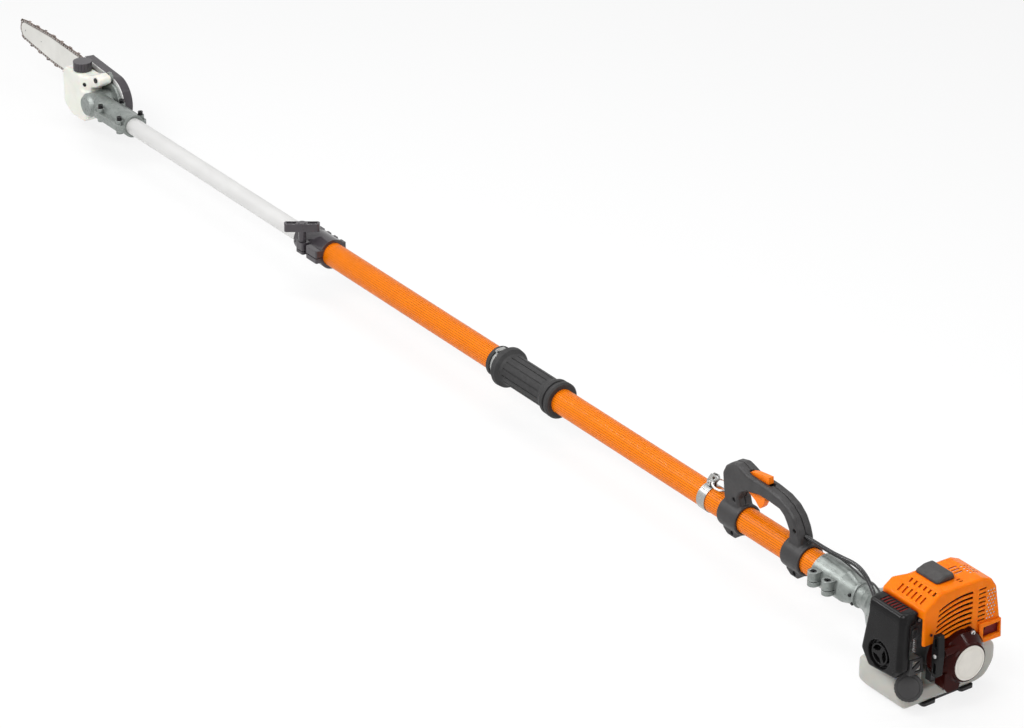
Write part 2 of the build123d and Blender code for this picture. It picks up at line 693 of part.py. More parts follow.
# ================================================================= front grip
GRIP_FOAM = 5.8          # foam thickness over the tube along the held length
CLAMP_SEAT = 3.6         # foam under the hose clamp
# stations and thickness of the foam over the tube
GRIP_PROFILE = ((1068.0, 9.0), (1071.0, 12.2), (1078.0, 12.2), (1079.0, 8.5), (1083.0, 8.5), (1084.0, 11.6),
                (1092.0, 11.6), (1099.0, 8.0), (1106.0, GRIP_FOAM), (1226.0, GRIP_FOAM), (1231.0, 8.0),
                (1236.0, 15.0), (1246.0, 16.0), (1250.0, 14.0), (1254.0, 9.0), (1256.0, CLAMP_SEAT),
                (1267.0, CLAMP_SEAT), (1268.0, 6.5), (1277.0, 6.5))
GRIP_GROOVES = 14
with BuildPart() as front_grip:
    with BuildSketch(beside(0)):
        with BuildLine():
            Polyline((GRIP_PROFILE[0][0], TUBE_R), *[(x, TUBE_R + t) for x, t in GRIP_PROFILE],
                     (GRIP_PROFILE[-1][0], TUBE_R), close=True)
        make_face()
    revolve(axis=Axis((0, 0, AXIS_H), (1, 0, 0)))
    with BuildSketch(across(1108.0)):
        with PolarLocations(TUBE_R + GRIP_FOAM, GRIP_GROOVES):
            Rectangle(3.0, 2.4)
    extrude(amount=116.0, mode=Mode.SUBTRACT)
front_grip.part.label = "front_grip"

HOSE_X = 1261.5
HOSE_R = TUBE_R + CLAMP_SEAT
with BuildPart() as hose_clamp:
    with BuildSketch(across(HOSE_X - 5.0)):
        Circle(HOSE_R + 0.8)
        Circle(HOSE_R, mode=Mode.SUBTRACT)
    extrude(amount=10.0)
    with BuildSketch(across(HOSE_X - 5.5)):
        with Locations((4.0, HOSE_R + 2.8)):
            Rectangle(16.0, 5.0)
    extrude(amount=11.0)
    with BuildSketch(Plane(origin=(HOSE_X, 12.0, AXIS_H + HOSE_R + 3.4), x_dir=(1, 0, 0), z_dir=(0, 1, 0))):
        RegularPolygon(3.6, 6)
    extrude(amount=5.0)
hose_clamp.part.label = "hose_clamp"

# ================================================================= harness clamp
BAND_X = 606.0
BAND_W = 22.0
BAND_T = 1.6
EAR_Y = 3.2
EAR_T = 2.0
EYE_Z = TUBE_R + 19.0
EYE_R = 5.0
EAR_BOLT_Z = TUBE_R + 7.5
EAR_BASE_Z = TUBE_R + 9.0
EYE_X = BAND_X - 12.0
with BuildPart() as harness_band:
    with BuildSketch(across(BAND_X - BAND_W / 2)):
        Circle(TUBE_R + BAND_T)
        Circle(TUBE_R + FIT, mode=Mode.SUBTRACT)
        with Locations((0, TUBE_R)):
            Rectangle(2 * EAR_Y, 8.0, mode=Mode.SUBTRACT)
    extrude(amount=BAND_W)
    for side in (1, -1):
        with BuildSketch(beside(side * EAR_Y + EAR_T / 2)):
            with BuildLine():
                Polyline((BAND_X + 9.0, TUBE_R + 0.1), (BAND_X + 9.0, EAR_BASE_Z), (BAND_X - 2.0, EYE_Z + 7.0),
                         (EYE_X - 4.0, EYE_Z + 9.0), (EYE_X - 9.0, EYE_Z + 2.0), (BAND_X - 11.0, EAR_BASE_Z),
                         (BAND_X - 11.0, TUBE_R + 0.1), close=True)
            make_face()
            fillet(vertices().group_by(Axis.Y)[-1], 3.0)
            with Locations((EYE_X, EYE_Z)):
                Circle(EYE_R, mode=Mode.SUBTRACT)
            with Locations((BAND_X, EAR_BOLT_Z)):
                Circle(2.5 + FIT, mode=Mode.SUBTRACT)
        extrude(amount=EAR_T)
harness_band.part.label = "harness_band"

with BuildPart() as harness_bolt:
    with BuildSketch(beside(EAR_Y + EAR_T / 2)):
        with Locations((BAND_X, EAR_BOLT_Z)):
            Circle(2.5)
    extrude(amount=2 * EAR_Y + EAR_T)
    with BuildSketch(beside(EAR_Y + EAR_T / 2 + 4.0)):
        with Locations((BAND_X, EAR_BOLT_Z)):
            Circle(4.6)
            RegularPolygon(2.2, 6, mode=Mode.SUBTRACT)
    extrude(amount=3.0)
    with BuildSketch(beside(EAR_Y + EAR_T / 2 + 1.0)):
        with Locations((BAND_X, EAR_BOLT_Z)):
            Circle(4.6)
    extrude(amount=1.0)
    with BuildSketch(beside(-EAR_Y - EAR_T / 2)):
        with Locations((BAND_X, EAR_BOLT_Z)):
            RegularPolygon(4.6, 6)
    extrude(amount=4.0)
harness_bolt.part.label = "harness_bolt"

RING_R = 16.0
RING_WIRE = 2.2
RING_DIP = 16.0
ring_dir = (-cos(radians(RING_DIP)), 0, -sin(radians(RING_DIP)))
ring_mid = (EYE_X + RING_R * ring_dir[0], 0, AXIS_H + EYE_Z - 2.0 + RING_R * ring_dir[2])
RING_PLANE = Plane(origin=ring_mid, x_dir=ring_dir, z_dir=(-ring_dir[2], 0, ring_dir[0]))
with BuildPart() as harness_ring:
    with Locations(RING_PLANE.location):
        Torus(RING_R, RING_WIRE)
harness_ring.part.label = "harness_ring"

# ================================================================= loop handle
GRIP_HALF = 17.0
LEG_R = TUBE_R + 5.5
SEAM = 0.05
GRIP_TOP = ((548.0, 20.0), (553.0, 46.0), (557.0, 80.0), (549.0, 96.0), (534.0, 108.0), (514.0, 113.0),
            (499.0, 109.0), (484.0, 104.0), (430.0, 103.0), (396.0, 99.0), (371.0, 90.0), (353.0, 76.0),
            (341.0, 58.0), (334.0, 40.0), (332.0, 20.0))
GRIP_INNER = ((368.0, 20.0), (366.0, 45.0), (374.0, 58.0), (382.0, 68.0), (394.0, 75.0), (424.0, 77.0),
              (453.0, 77.0), (486.0, 69.0), (503.0, 58.0), (510.0, 44.0), (502.0, 20.0))
FRONT_LEG = (500.0, 553.0)
REAR_LEG = (322.0, 372.0)
LEG_LOW = -38.0
TRIGGER_POCKET = (443.0, 502.0, 60.0, 90.0)
LOCK_POCKET = (430.0, 493.0, 93.5, 125.0)
LEVER_HALF = 5.5
PIN_R = 2.0
PIN_LEN = 9.0            # trunnion reach from the middle
TRIGGER_PIN = (496.0, 82.0)
LOCK_PIN = (486.0, 100.0)
HANDLE_SCREWS = ((521.0, 38.0), (524.0, -32.0), (350.0, 52.0), (346.0, -32.0))
SCREW_R = 2.0
SCREW_HEAD_R = 4.2
CABLE_R = 4.2
WIRE_R = 2.0
CABLE_Z = 42.0
WIRE_Z = 37.0
WIRE_Y = -8.0


def handle_half(side):
    """One moulded half of the loop handle; side is +1 for the operator's left."""
    with BuildPart() as half:
        with BuildSketch(beside(side * SEAM)):
            with BuildLine():
                Polyline(*GRIP_TOP, *GRIP_INNER, close=True)
            make_face()
            fillet(vertices().sort_by(Axis.Z)[4:], 5.0)
        extrude(amount=-side * GRIP_HALF)
        chamfer(half.faces().sort_by(Axis.Y)[-1 if side > 0 else 0].edges(), 4.0)
        for x0, x1 in (FRONT_LEG, REAR_LEG):
            with BuildSketch(across(x0)):
                Circle(LEG_R)
                with Locations((-side * LEG_R, 0)):
                    Rectangle(2 * LEG_R, 2 * LEG_R + 2.0, mode=Mode.SUBTRACT)
            extrude(amount=x1 - x0)
            with BuildSketch(beside(side * SEAM)):
                with BuildLine():
                    Polyline((x0 + 3.0, 0), (x1 - 3.0, 0), (x1 - 4.0, -30.0), (x1 - 16.0, LEG_LOW),
                             (x0 + 14.0, LEG_LOW), (x0 + 4.0, -30.0), close=True)
                make_face()
            extrude(amount=-side * GRIP_HALF)
        with BuildSketch(across(300.0)):
            Circle(TUBE_R)
        extrude(amount=280.0, mode=Mode.SUBTRACT)
        # pockets for the trigger and the lock lever, and their pin holes
        for x0, x1, z0, z1 in (TRIGGER_POCKET, LOCK_POCKET):
            with BuildSketch(beside(0)):
                with Locations(((x0 + x1) / 2, (z0 + z1) / 2)):
                    Rectangle(x1 - x0, z1 - z0)
            extrude(amount=-side * (LEVER_HALF + GAP), mode=Mode.SUBTRACT)
        with BuildSketch(beside(0)):
            with Locations(TRIGGER_PIN, LOCK_PIN):
                Circle(PIN_R + FIT)
        extrude(amount=-side * (PIN_LEN + FIT), mode=Mode.SUBTRACT)
        # screw holes with recessed heads on the left half
        with BuildSketch(beside(0)):
            with Locations(*HANDLE_SCREWS):
                Circle(SCREW_R)
        extrude(amount=-side * 11.0, mode=Mode.SUBTRACT)
        if side > 0:
            with BuildSketch(beside(11.0)):
                with Locations(*HANDLE_SCREWS):
                    Circle(SCREW_HEAD_R)
            extrude(amount=-30.0, mode=Mode.SUBTRACT)
        # sockets where the cable and the wire enter the rear leg
        with BuildSketch(across(316.0)):
            with Locations((0, CABLE_Z)):
                Circle(CABLE_R)
            with Locations((WIRE_Y, WIRE_Z)):
                Circle(WIRE_R)
        extrude(amount=36.0, mode=Mode.SUBTRACT)
    return half


handle_left = handle_half(1)
handle_left.part.label = "handle_left"
handle_right = handle_half(-1)
handle_right.part.label = "handle_right"

with BuildPart() as handle_screws:
    with BuildSketch(beside(-10.0)):
        with Locations(*HANDLE_SCREWS):
            Circle(SCREW_R)
    extrude(amount=-21.0)
    with BuildSketch(beside(11.0)):
        with Locations(*HANDLE_SCREWS):
            Circle(SCREW_HEAD_R - FIT)
    extrude(amount=-2.6)
    with BuildSketch(beside(13.6)):
        with Locations(*HANDLE_SCREWS):
            Rectangle(5.0, 1.0)
            Rectangle(1.0, 5.0)
    extrude(amount=1.2, mode=Mode.SUBTRACT)
handle_screws.part.label = "handle_screws"

# levers with moulded trunnions that turn in the handle halves
with BuildPart() as throttle_trigger:
    with BuildSketch(beside(LEVER_HALF)):
        with BuildLine():
            Polyline((500.0, 85.0), (499.0, 66.0), (486.0, 60.0), (474.0, 55.0), (466.0, 48.0), (460.0, 44.0),
                     (453.0, 51.0), (447.0, 64.0), (448.0, 73.0), (470.0, 79.0), (489.0, 86.0), close=True)
        make_face()
        fillet(vertices(), 1.8)
    extrude(amount=2 * LEVER_HALF)
    with BuildSketch(beside(PIN_LEN)):
        with Locations(TRIGGER_PIN):
            Circle(PIN_R)
    extrude(amount=2 * PIN_LEN)
throttle_trigger.part.label = "throttle_trigger"

with BuildPart() as throttle_lock:
    with BuildSketch(beside(LEVER_HALF)):
        with BuildLine():
            Polyline((491.0, 103.0), (489.5, 97.0), (483.0, 96.0), (442.0, 101.0), (437.0, 103.0), (438.0, 116.0),
                     (474.0, 111.0), (489.0, 106.0), close=True)
        make_face()
    extrude(amount=2 * LEVER_HALF)
    with BuildSketch(beside(PIN_LEN)):
        with Locations(LOCK_PIN):
            Circle(PIN_R)
    extrude(amount=2 * PIN_LEN)
throttle_lock.part.label = "throttle_lock"

# ================================================================= socket and clutch housing
SOCKET_X0 = 182.0
SHOULDER_X = 214.0
SOCKET_X1 = 286.0
SOCKET_R = TUBE_R + 6.0
SWIVEL_R = 21.5
HOUSING_X0 = 52.0
HOUSING_PROFILE = ((52.0, 56.0), (98.0, 56.0), (114.0, 49.0), (142.0, 29.0), (160.0, 23.0), (176.0, 22.0),
                   (177.0, 25.0), (182.0, 25.0))
BOSS_Y = 38.0
BOSS_STATIONS = (230.0, 268.5)
BOSS_R = 10.5
BOSS_TOP = 18.0
BOSS_LOW = -10.0
CAP_HEAD_R = 5.5
with BuildPart() as tube_socket:
    with BuildSketch(Plane(origin=(0, 0, AXIS_H), x_dir=(1, 0, 0), z_dir=(0, -1, 0))):
        with BuildLine():
            Polyline((SOCKET_X0, 0), (SOCKET_X0, SWIVEL_R), (SHOULDER_X, SOCKET_R), (SOCKET_X1, SOCKET_R),
                     (SOCKET_X1, 0), close=True)
        make_face()
    revolve(axis=Axis((0, 0, AXIS_H), (1, 0, 0)))
    for station in BOSS_STATIONS:
        with BuildSketch(above(BOSS_LOW)):
            with Locations((station, BOSS_Y)):
                Circle(BOSS_R)
            with Locations((station, BOSS_Y - 8.0)):
                Rectangle(2 * BOSS_R, 16.0)
        extrude(amount=BOSS_TOP - BOSS_LOW)
    with BuildSketch(across(TUBE_X0)):
        Circle(TUBE_R)
    extrude(amount=100.0, mode=Mode.SUBTRACT)
    with BuildSketch(across(SOCKET_X0)):
        Circle(HUB_R + 2.0)
    extrude(amount=60.0, mode=Mode.SUBTRACT)
    with BuildSketch(above(-0.8)):
        with Locations((258.0, 38.0)):
            Rectangle(84.0, 30.0)
    extrude(amount=1.6, mode=Mode.SUBTRACT)
    with BuildSketch(above(BOSS_LOW)):
        for station in BOSS_STATIONS:
            with Locations((station, BOSS_Y)):
                Circle(BOLT_R)
    extrude(amount=40.0, mode=Mode.SUBTRACT)
    with BuildSketch(above(BOSS_TOP - 7.0)):
        for station in BOSS_STATIONS:
            with Locations((station, BOSS_Y)):
                Circle(CAP_HEAD_R + 0.8)
    extrude(amount=40.0, mode=Mode.SUBTRACT)
tube_socket.part.label = "tube_socket"

with BuildPart() as socket_screws:
    for station in BOSS_STATIONS:
        with BuildSketch(above(BOSS_LOW)):
            with Locations((station, BOSS_Y)):
                Circle(BOLT_R)
        extrude(amount=BOSS_TOP - 7.0 - BOSS_LOW)
        with BuildSketch(above(BOSS_TOP - 7.0)):
            with Locations((station, BOSS_Y)):
                Circle(CAP_HEAD_R)
        extrude(amount=5.5)
        with BuildSketch(above(BOSS_TOP - 4.5)):
            with Locations((station, BOSS_Y)):
                RegularPolygon(2.6, 6)
        extrude(amount=6.0, mode=Mode.SUBTRACT)
socket_screws.part.label = "socket_screws"

with BuildPart() as clutch_housing:
    with BuildSketch(Plane(origin=(0, 0, AXIS_H), x_dir=(1, 0, 0), z_dir=(0, -1, 0))):
        with BuildLine():
            Polyline((HOUSING_X0, 0), *HOUSING_PROFILE, (HOUSING_PROFILE[-1][0], 0), close=True)
        make_face()
    revolve(axis=Axis((0, 0, AXIS_H), (1, 0, 0)))
    with BuildSketch(across(HOUSING_X0)):
        Circle(DRUM_R + 4.0)
    extrude(amount=DRUM_X1 + 4.0 - HOUSING_X0, mode=Mode.SUBTRACT)
    with BuildSketch(across(HOUSING_X0)):
        Circle(11.0)
    extrude(amount=20.0 + DRUM_X1 - HOUSING_X0, mode=Mode.SUBTRACT)
    with BuildSketch(across(DRUM_X1)):
        Circle(HUB_R + FIT)
    extrude(amount=100.0, mode=Mode.SUBTRACT)
clutch_housing.part.label = "clutch_housing"

# ================================================================= crank train
CRANK_R = 6.0
FLYWHEEL_X0 = -66.0
FLYWHEEL_X1 = -50.0
with BuildPart() as crankshaft:
    with BuildSketch(across(-72.0)):
        Circle(CRANK_R)
    extrude(amount=72.0 + 88.0)
    for x in (-16.0, 4.0):
        with BuildSketch(across(x)):
            Circle(24.0)
        extrude(amount=10.0)
crankshaft.part.label = "crankshaft"

with BuildPart() as flywheel:
    with BuildSketch(across(FLYWHEEL_X0)):
        Circle(36.0)
        Circle(CRANK_R, mode=Mode.SUBTRACT)
    extrude(amount=6.0)
    with BuildSketch(across(FLYWHEEL_X0)):
        with PolarLocations(28.0, 12):
            Rectangle(16.0, 2.4, rotation=25.0)
        Circle(12.0)
        Circle(CRANK_R, mode=Mode.SUBTRACT)
    extrude(amount=FLYWHEEL_X1 - FLYWHEEL_X0)
flywheel.part.label = "flywheel"

with BuildPart() as clutch_rotor:
    with BuildSketch(across(72.0)):
        with GridLocations(0, 2 * 20.0, 1, 2):
            Rectangle(44.0, 24.0)
        Circle(34.0, mode=Mode.INTERSECT)
        Rectangle(16.0, 40.0)
        Circle(CRANK_R, mode=Mode.SUBTRACT)
    extrude(amount=14.0)
clutch_rotor.part.label = "clutch_rotor"

CASE_X0 = -46.0
CASE_X1 = 52.0
CASE_R = 44.0
STARTER_R = 50.0
DECK_Z = 46.0            # cylinder seats here
CHAMBER_R = 27.0
TRENCH_Z = -58.0         # floor of the trench in the fuel tank
with BuildPart() as crankcase:
    with BuildSketch(across(CASE_X0)):
        Circle(CASE_R)
    extrude(amount=CASE_X1 - CASE_X0)
    # rear flange that the starter bolts to
    with BuildSketch(across(CASE_X0)):
        Circle(STARTER_R)
    extrude(amount=4.0)
    with BuildSketch(above(0)):
        Rectangle(72.0, 66.0)
    extrude(amount=DECK_Z)
    with BuildSketch(above(TRENCH_Z)):
        with GridLocations(60.0, 44.0, 2, 2):
            Rectangle(14.0, 14.0)
    extrude(amount=30.0)
    with BuildSketch(across(-20.0)):
        Circle(CHAMBER_R)
    extrude(amount=40.0, mode=Mode.SUBTRACT)
    with BuildSketch(across(CASE_X0 - 1.0)):
        Circle(CRANK_R + FIT)
    extrude(amount=120.0, mode=Mode.SUBTRACT)
    with BuildSketch(above(10.0)):
        Circle(17.0)
    extrude(amount=40.0, mode=Mode.SUBTRACT)
crankcase.part.label = "crankcase"

FIN_COUNT = 8
FIN_PITCH = 7.4
FIN_T = 2.0
HEAD_Z = 114.0
PLUG_POS = (-14.0, 12.0)
PORT_OUT = 46.0          # exhaust port face, where the muffler bolts on
with BuildPart() as cylinder_block:
    with BuildSketch(above(DECK_Z)):
        Circle(24.0)
    extrude(amount=HEAD_Z - DECK_Z)
    for i in range(FIN_COUNT):
        with BuildSketch(above(DECK_Z + 6.0 + i * FIN_PITCH)):
            RectangleRounded(74.0, 68.0, 8.0)
        extrude(amount=FIN_T)
    with BuildSketch(above(DECK_Z)):
        RectangleRounded(66.0, 60.0, 6.0)
    extrude(amount=6.0)
    with BuildSketch(beside(0)):
        with Locations((0, 66.0)):
            Rectangle(30.0, 26.0)
    extrude(amount=-40.0)
    with BuildSketch(beside(0)):
        with Locations((0, 66.0)):
            Rectangle(30.0, 26.0)
    extrude(amount=PORT_OUT)
    with BuildSketch(above(DECK_Z - 1.0)):
        Circle(17.0)
    extrude(amount=HEAD_Z - 10.0 - DECK_Z + 1.0, mode=Mode.SUBTRACT)
    with BuildSketch(beside(41.0)):
        with Locations((0, 66.0)):
            Circle(8.0)
    extrude(amount=41.0 + PORT_OUT, mode=Mode.SUBTRACT)
    with BuildSketch(above(HEAD_Z - 14.0)):
        with Locations(PLUG_POS):
            Circle(5.0)
    extrude(amount=20.0, mode=Mode.SUBTRACT)
cylinder_block.part.label = "cylinder_block"

with BuildPart() as spark_plug:
    with BuildSketch(above(HEAD_Z - 12.0)):
        with Locations(PLUG_POS):
            Circle(5.0)
    extrude(amount=12.0)
    with BuildSketch(above(HEAD_Z)):
        with Locations(PLUG_POS):
            RegularPolygon(8.0, 6)
    extrude(amount=8.0)
    with BuildSketch(above(HEAD_Z + 8.0)):
        with Locations(PLUG_POS):
            Circle(7.0)
    extrude(amount=20.0)
spark_plug.part.label = "spark_plug"

# ================================================================= shroud
SHROUD_X0 = -70.0
SHROUD_X1 = 36.0
SHROUD = ((81.0, 42.0), (82.0, 112.0), (64.0, 124.0), (46.0, 136.0), (-47.0, 135.0), (-68.0, 126.5),
          (-79.0, 110.0), (-96.0, 15.0), (-92.0, 8.0), (0, 8.0), (0, 42.0))
SHROUD_IN = ((81.0 - WALL, 30.0), (82.0 - WALL, 111.0), (63.0, 121.5), (45.0, 133.5), (-46.0, 132.5), (-66.0, 124.5),
             (-76.3, 109.0), (-93.0, 16.0), (-90.0, 10.5), (0, 10.5), (0, 30.0))
SHROUD_RIM = 4.5         # rounding round the rear face
LOUVRES = 7
ARCH_R = 51.0
STARTER_EAR = (-19.0, 44.0)
STARTER_EAR_R = 6.5
EXHAUST = (-87.0, -50.0, 18.0, 40.0)     # y0, y1, z0, z1
with BuildPart() as shroud:
    with BuildSketch(across(SHROUD_X0)):
        with BuildLine():
            Polyline(*SHROUD, close=True)
        make_face()
        fillet(vertices().group_by(Axis.Z)[-1] + vertices().sort_by(Axis.Z)[-4:-2], 6.0)
    extrude(amount=SHROUD_X1 - SHROUD_X0)
    rim = shroud.faces().sort_by(Axis.X)[0].edges().filter_by(lambda edge: edge.center().Z > AXIS_H + 45.0)
    fillet(rim, SHROUD_RIM)
    with BuildSketch(across(SHROUD_X0 - 4.0)):
        with BuildLine():
            Polyline((-42.0, 10.0), (-91.0, 9.0), (-89.0, 46.0), (-41.0, 49.0), close=True)
        make_face()
    extrude(amount=5.0)
    with BuildSketch(across(SHROUD_X0 + WALL)):
        with BuildLine():
            Polyline(*SHROUD_IN, close=True)
        make_face()
    extrude(amount=SHROUD_X1 - SHROUD_X0, mode=Mode.SUBTRACT)
    # the starter and the crankcase fit under a round arch
    with BuildSketch(across(SHROUD_X0 - 6.0)):
        Circle(ARCH_R)
        with Locations(STARTER_EAR):
            Circle(STARTER_EAR_R + 0.6)
    extrude(amount=SHROUD_X1 - SHROUD_X0 + 12.0, mode=Mode.SUBTRACT)
    # rounded brow
    with BuildSketch(beside(90.0)):
        with BuildLine():
            Polyline((SHROUD_X1 + 1.0, 124.0), (SHROUD_X1 - 24.0, 136.5), (SHROUD_X1 + 1.0, 150.0), close=True)
        make_face()
    extrude(amount=190.0, mode=Mode.SUBTRACT)
    # the front face leans back towards the right
    with BuildSketch(above(-10.0)):
        with BuildLine():
            Polyline((SHROUD_X1, 62.0), (SHROUD_X1 - 28.0, -110.0), (SHROUD_X1 + 40.0, -110.0), (SHROUD_X1 + 40.0, 62.0),
                     close=True)
        make_face()
    extrude(amount=160.0, mode=Mode.SUBTRACT)
    # window for the carburettor, hole for the plug
    with BuildSketch(beside(90.0)):
        with Locations(((SHROUD_X0 + SHROUD_X1) / 2 + 4.0, 62.0)):
            Rectangle(SHROUD_X1 - SHROUD_X0, 70.0)
    extrude(amount=20.0, mode=Mode.SUBTRACT)
    with BuildSketch(above(125.0)):
        with Locations(PLUG_POS):
            Rectangle(34.0, 30.0)
    extrude(amount=20.0, mode=Mode.SUBTRACT)
    # exhaust opening
    with BuildSketch(across(SHROUD_X0 - 5.0)):
        with Locations(((EXHAUST[0] + EXHAUST[1]) / 2, (EXHAUST[2] + EXHAUST[3]) / 2)):
            Rectangle(EXHAUST[1] - EXHAUST[0], EXHAUST[3] - EXHAUST[2])
    extrude(amount=5.0 + WALL + 0.5, mode=Mode.SUBTRACT)
    # curved louvres in the rear face
    with BuildSketch(across(SHROUD_X0 - 1.0)):
        for i in range(LOUVRES):
            z = 50.0 + i * 9.75
            left = 57.0 - i * 1.4
            with BuildLine():
                ThreePointArc((left, z - 3.6), (12.0, z + 7.6), (-26.0, z + 8.2))
                Line((-26.0, z + 8.2), (-26.0, z + 3.0))
                ThreePointArc((-26.0, z + 3.0), (12.0, z + 2.2), (left, z - 8.6))
                Line((left, z - 8.6), (left, z - 3.6))
            make_face()
        with Locations(*[(-47.0, 54.0 + i * 8.6) for i in range(8)]):
            Rectangle(16.0, 3.6)
        with Locations(*[(-60.0 - 6.4 * j - 3.2 * (i % 2), 53.0 + 6.6 * i) for i in range(9) for j in range(3)]):
            Circle(2.1)
    extrude(amount=WALL + 2.0, mode=Mode.SUBTRACT)
    # slot rows in the sloping step and on the top right
    slope = Plane(origin=(-8.0, 68.0, AXIS_H + 122.0), x_dir=(1, 0, 0), z_dir=(0, 0.58, 0.81))
    with BuildSketch(slope.offset(8.0)):
        with Locations(*[(x - 14.0, 1.5) for x in rows(6, 11.5)]):
            Rectangle(4.5, 15.0)
        with Locations(*[(x - 21.5, -18.5) for x in rows(6, 11.9)]):
            Rectangle(4.5, 8.5)
    extrude(amount=-20.0, mode=Mode.SUBTRACT)
    with BuildSketch(above(140.0)):
        with Locations(*[(-18.0 - 8.0 * i, -42.0 - 7.0 * j) for i in range(4) for j in range(3)]):
            Circle(2.2)
        with Locations((-12.5, -28.0), (-21.0, -27.0), (-30.0, -26.0)):
            Rectangle(3.6, 18.0)
        with Locations((-49.0, -9.0), (-56.0, -9.0)):
            Rectangle(3.2, 9.0)
    extrude(amount=-12.0, mode=Mode.SUBTRACT)
shroud.part.label = "shroud"

COVER_Z = 136.0
with BuildPart() as plug_cover:
    with BuildSketch(across(-44.0)):
        with BuildLine():
            Polyline((34.0, COVER_Z), (31.5, 141.5), (14.0, 147.0), (-4.0, 147.0), (-8.0, COVER_Z), close=True)
        make_face()
        fillet(vertices().sort_by(Axis.Y)[2:], 3.5)
    extrude(amount=58.0)
    ends = plug_cover.faces().filter_by(Axis.X).edges()
    fillet(ends.filter_by(lambda edge: edge.center().Z > AXIS_H + COVER_Z + 0.5), 5.0)
    with BuildSketch(across(-40.0)):
        with BuildLine():
            Polyline((31.0, COVER_Z - 1.0), (28.5, 139.5), (13.0, 145.0), (-2.0, 145.0), (-5.0, COVER_Z - 1.0),
                     close=True)
        make_face()
    extrude(amount=50.0, mode=Mode.SUBTRACT)
plug_cover.part.label = "plug_cover"

with BuildPart() as muffler:
    with BuildSketch(across(-60.0)):
        with BuildLine():
            Polyline((-53.0, 13.0), (-87.0, 13.0), (-73.0, 104.0), (-46.0, 104.0), (-46.0, 40.0), close=True)
        make_face()
    extrude(amount=62.0)
    with BuildSketch(across(-62.0)):
        with Locations((-72.0, 27.0)):
            Circle(9.0)
    extrude(amount=4.0)
    with BuildSketch(across(-62.0)):
        with Locations((-72.0, 27.0)):
            Circle(7.0)
    extrude(amount=10.0, mode=Mode.SUBTRACT)
    with BuildSketch(across(-50.0)):
        with BuildLine():
            Polyline((-56.0, 16.0), (-84.0, 16.0), (-70.0, 101.0), (-49.0, 101.0), (-49.0, 41.0), close=True)
        make_face()
    extrude(amount=42.0, mode=Mode.SUBTRACT)
muffler.part.label = "muffler"

# ================================================================= recoil starter
STARTER_PROFILE = ((REAR_X + 2.0, 35.5), (REAR_X + 6.0, 37.0), (REAR_X + 20.0, 49.0), (REAR_X + 30.0, STARTER_R),
                   (CASE_X0, STARTER_R))
ROPE_X = -86.0
ROPE_Z = 30.0
REEL_R = 33.0
REEL_POST_R = 4.0
ROPE_R = 1.6
ROPE_Y1 = 54.0
with BuildPart() as starter_housing:
    with BuildSketch(Plane(origin=(0, 0, AXIS_H), x_dir=(1, 0, 0), z_dir=(0, -1, 0))):
        with BuildLine():
            Polyline((STARTER_PROFILE[0][0], 0), *STARTER_PROFILE, (STARTER_PROFILE[-1][0], 0), close=True)
        make_face()
    revolve(axis=Axis((0, 0, AXIS_H), (1, 0, 0)))
    with BuildSketch(across(REAR_X + 20.0)):
        with Locations(STARTER_EAR):
            Circle(STARTER_EAR_R)
    extrude(amount=34.0)
    with BuildSketch(across(REAR_X + 10.0)):
        with BuildLine():
            Polyline((0, 0), (14.0, -50.0), (38.0, -50.0), (46.0, -40.0), (46.0, -12.0), close=True)
        make_face()
    extrude(amount=24.0)
    with BuildSketch(beside(ROPE_Y1 - 4.0)):
        with Locations((ROPE_X, ROPE_Z)):
            Circle(8.0)
    extrude(amount=36.0)
    with BuildSketch(across(REAR_X + 5.0)):
        Circle(REEL_R + 2.0)
    extrude(amount=60.0, mode=Mode.SUBTRACT)
    with BuildSketch(across(REAR_X + 24.0)):
        Circle(46.0)
    extrude(amount=60.0, mode=Mode.SUBTRACT)
    with BuildSketch(beside(ROPE_Y1)):
        with Locations((ROPE_X, ROPE_Z)):
            Circle(ROPE_R + GAP)
    extrude(amount=ROPE_Y1, mode=Mode.SUBTRACT)
    # post that carries the reel
    with BuildSketch(across(REAR_X + 4.0)):
        Circle(REEL_POST_R)
    extrude(amount=18.0)
starter_housing.part.label = "starter_housing"

with BuildPart() as starter_disc:
    with BuildSketch(across(REAR_X)):
        Circle(32.0)
    extrude(amount=2.0)
    with BuildSketch(across(REAR_X)):
        Circle(28.0)
        Circle(26.8, mode=Mode.SUBTRACT)
    extrude(amount=0.4, mode=Mode.SUBTRACT)
starter_disc.part.label = "starter_disc"

with BuildPart() as starter_reel:
    with BuildSketch(across(ROPE_X - 5.0)):
        Circle(REEL_R)
    extrude(amount=2.0)
    with BuildSketch(across(ROPE_X + 3.0)):
        Circle(REEL_R)
    extrude(amount=2.0)
    with BuildSketch(across(ROPE_X - 5.0)):
        Circle(REEL_R - 6.0)
    extrude(amount=10.0)
    with BuildSketch(across(ROPE_X - 5.0)):
        Circle(REEL_POST_R + FIT)
    extrude(amount=10.0, mode=Mode.SUBTRACT)
starter_reel.part.label = "starter_reel"

with BuildPart() as starter_rope:
    with BuildSketch(beside(0)):
        with Locations((ROPE_X, ROPE_Z)):
            Circle(ROPE_R)
    extrude(amount=-(ROPE_Y1 + 4.0))
starter_rope.part.label = "starter_rope"

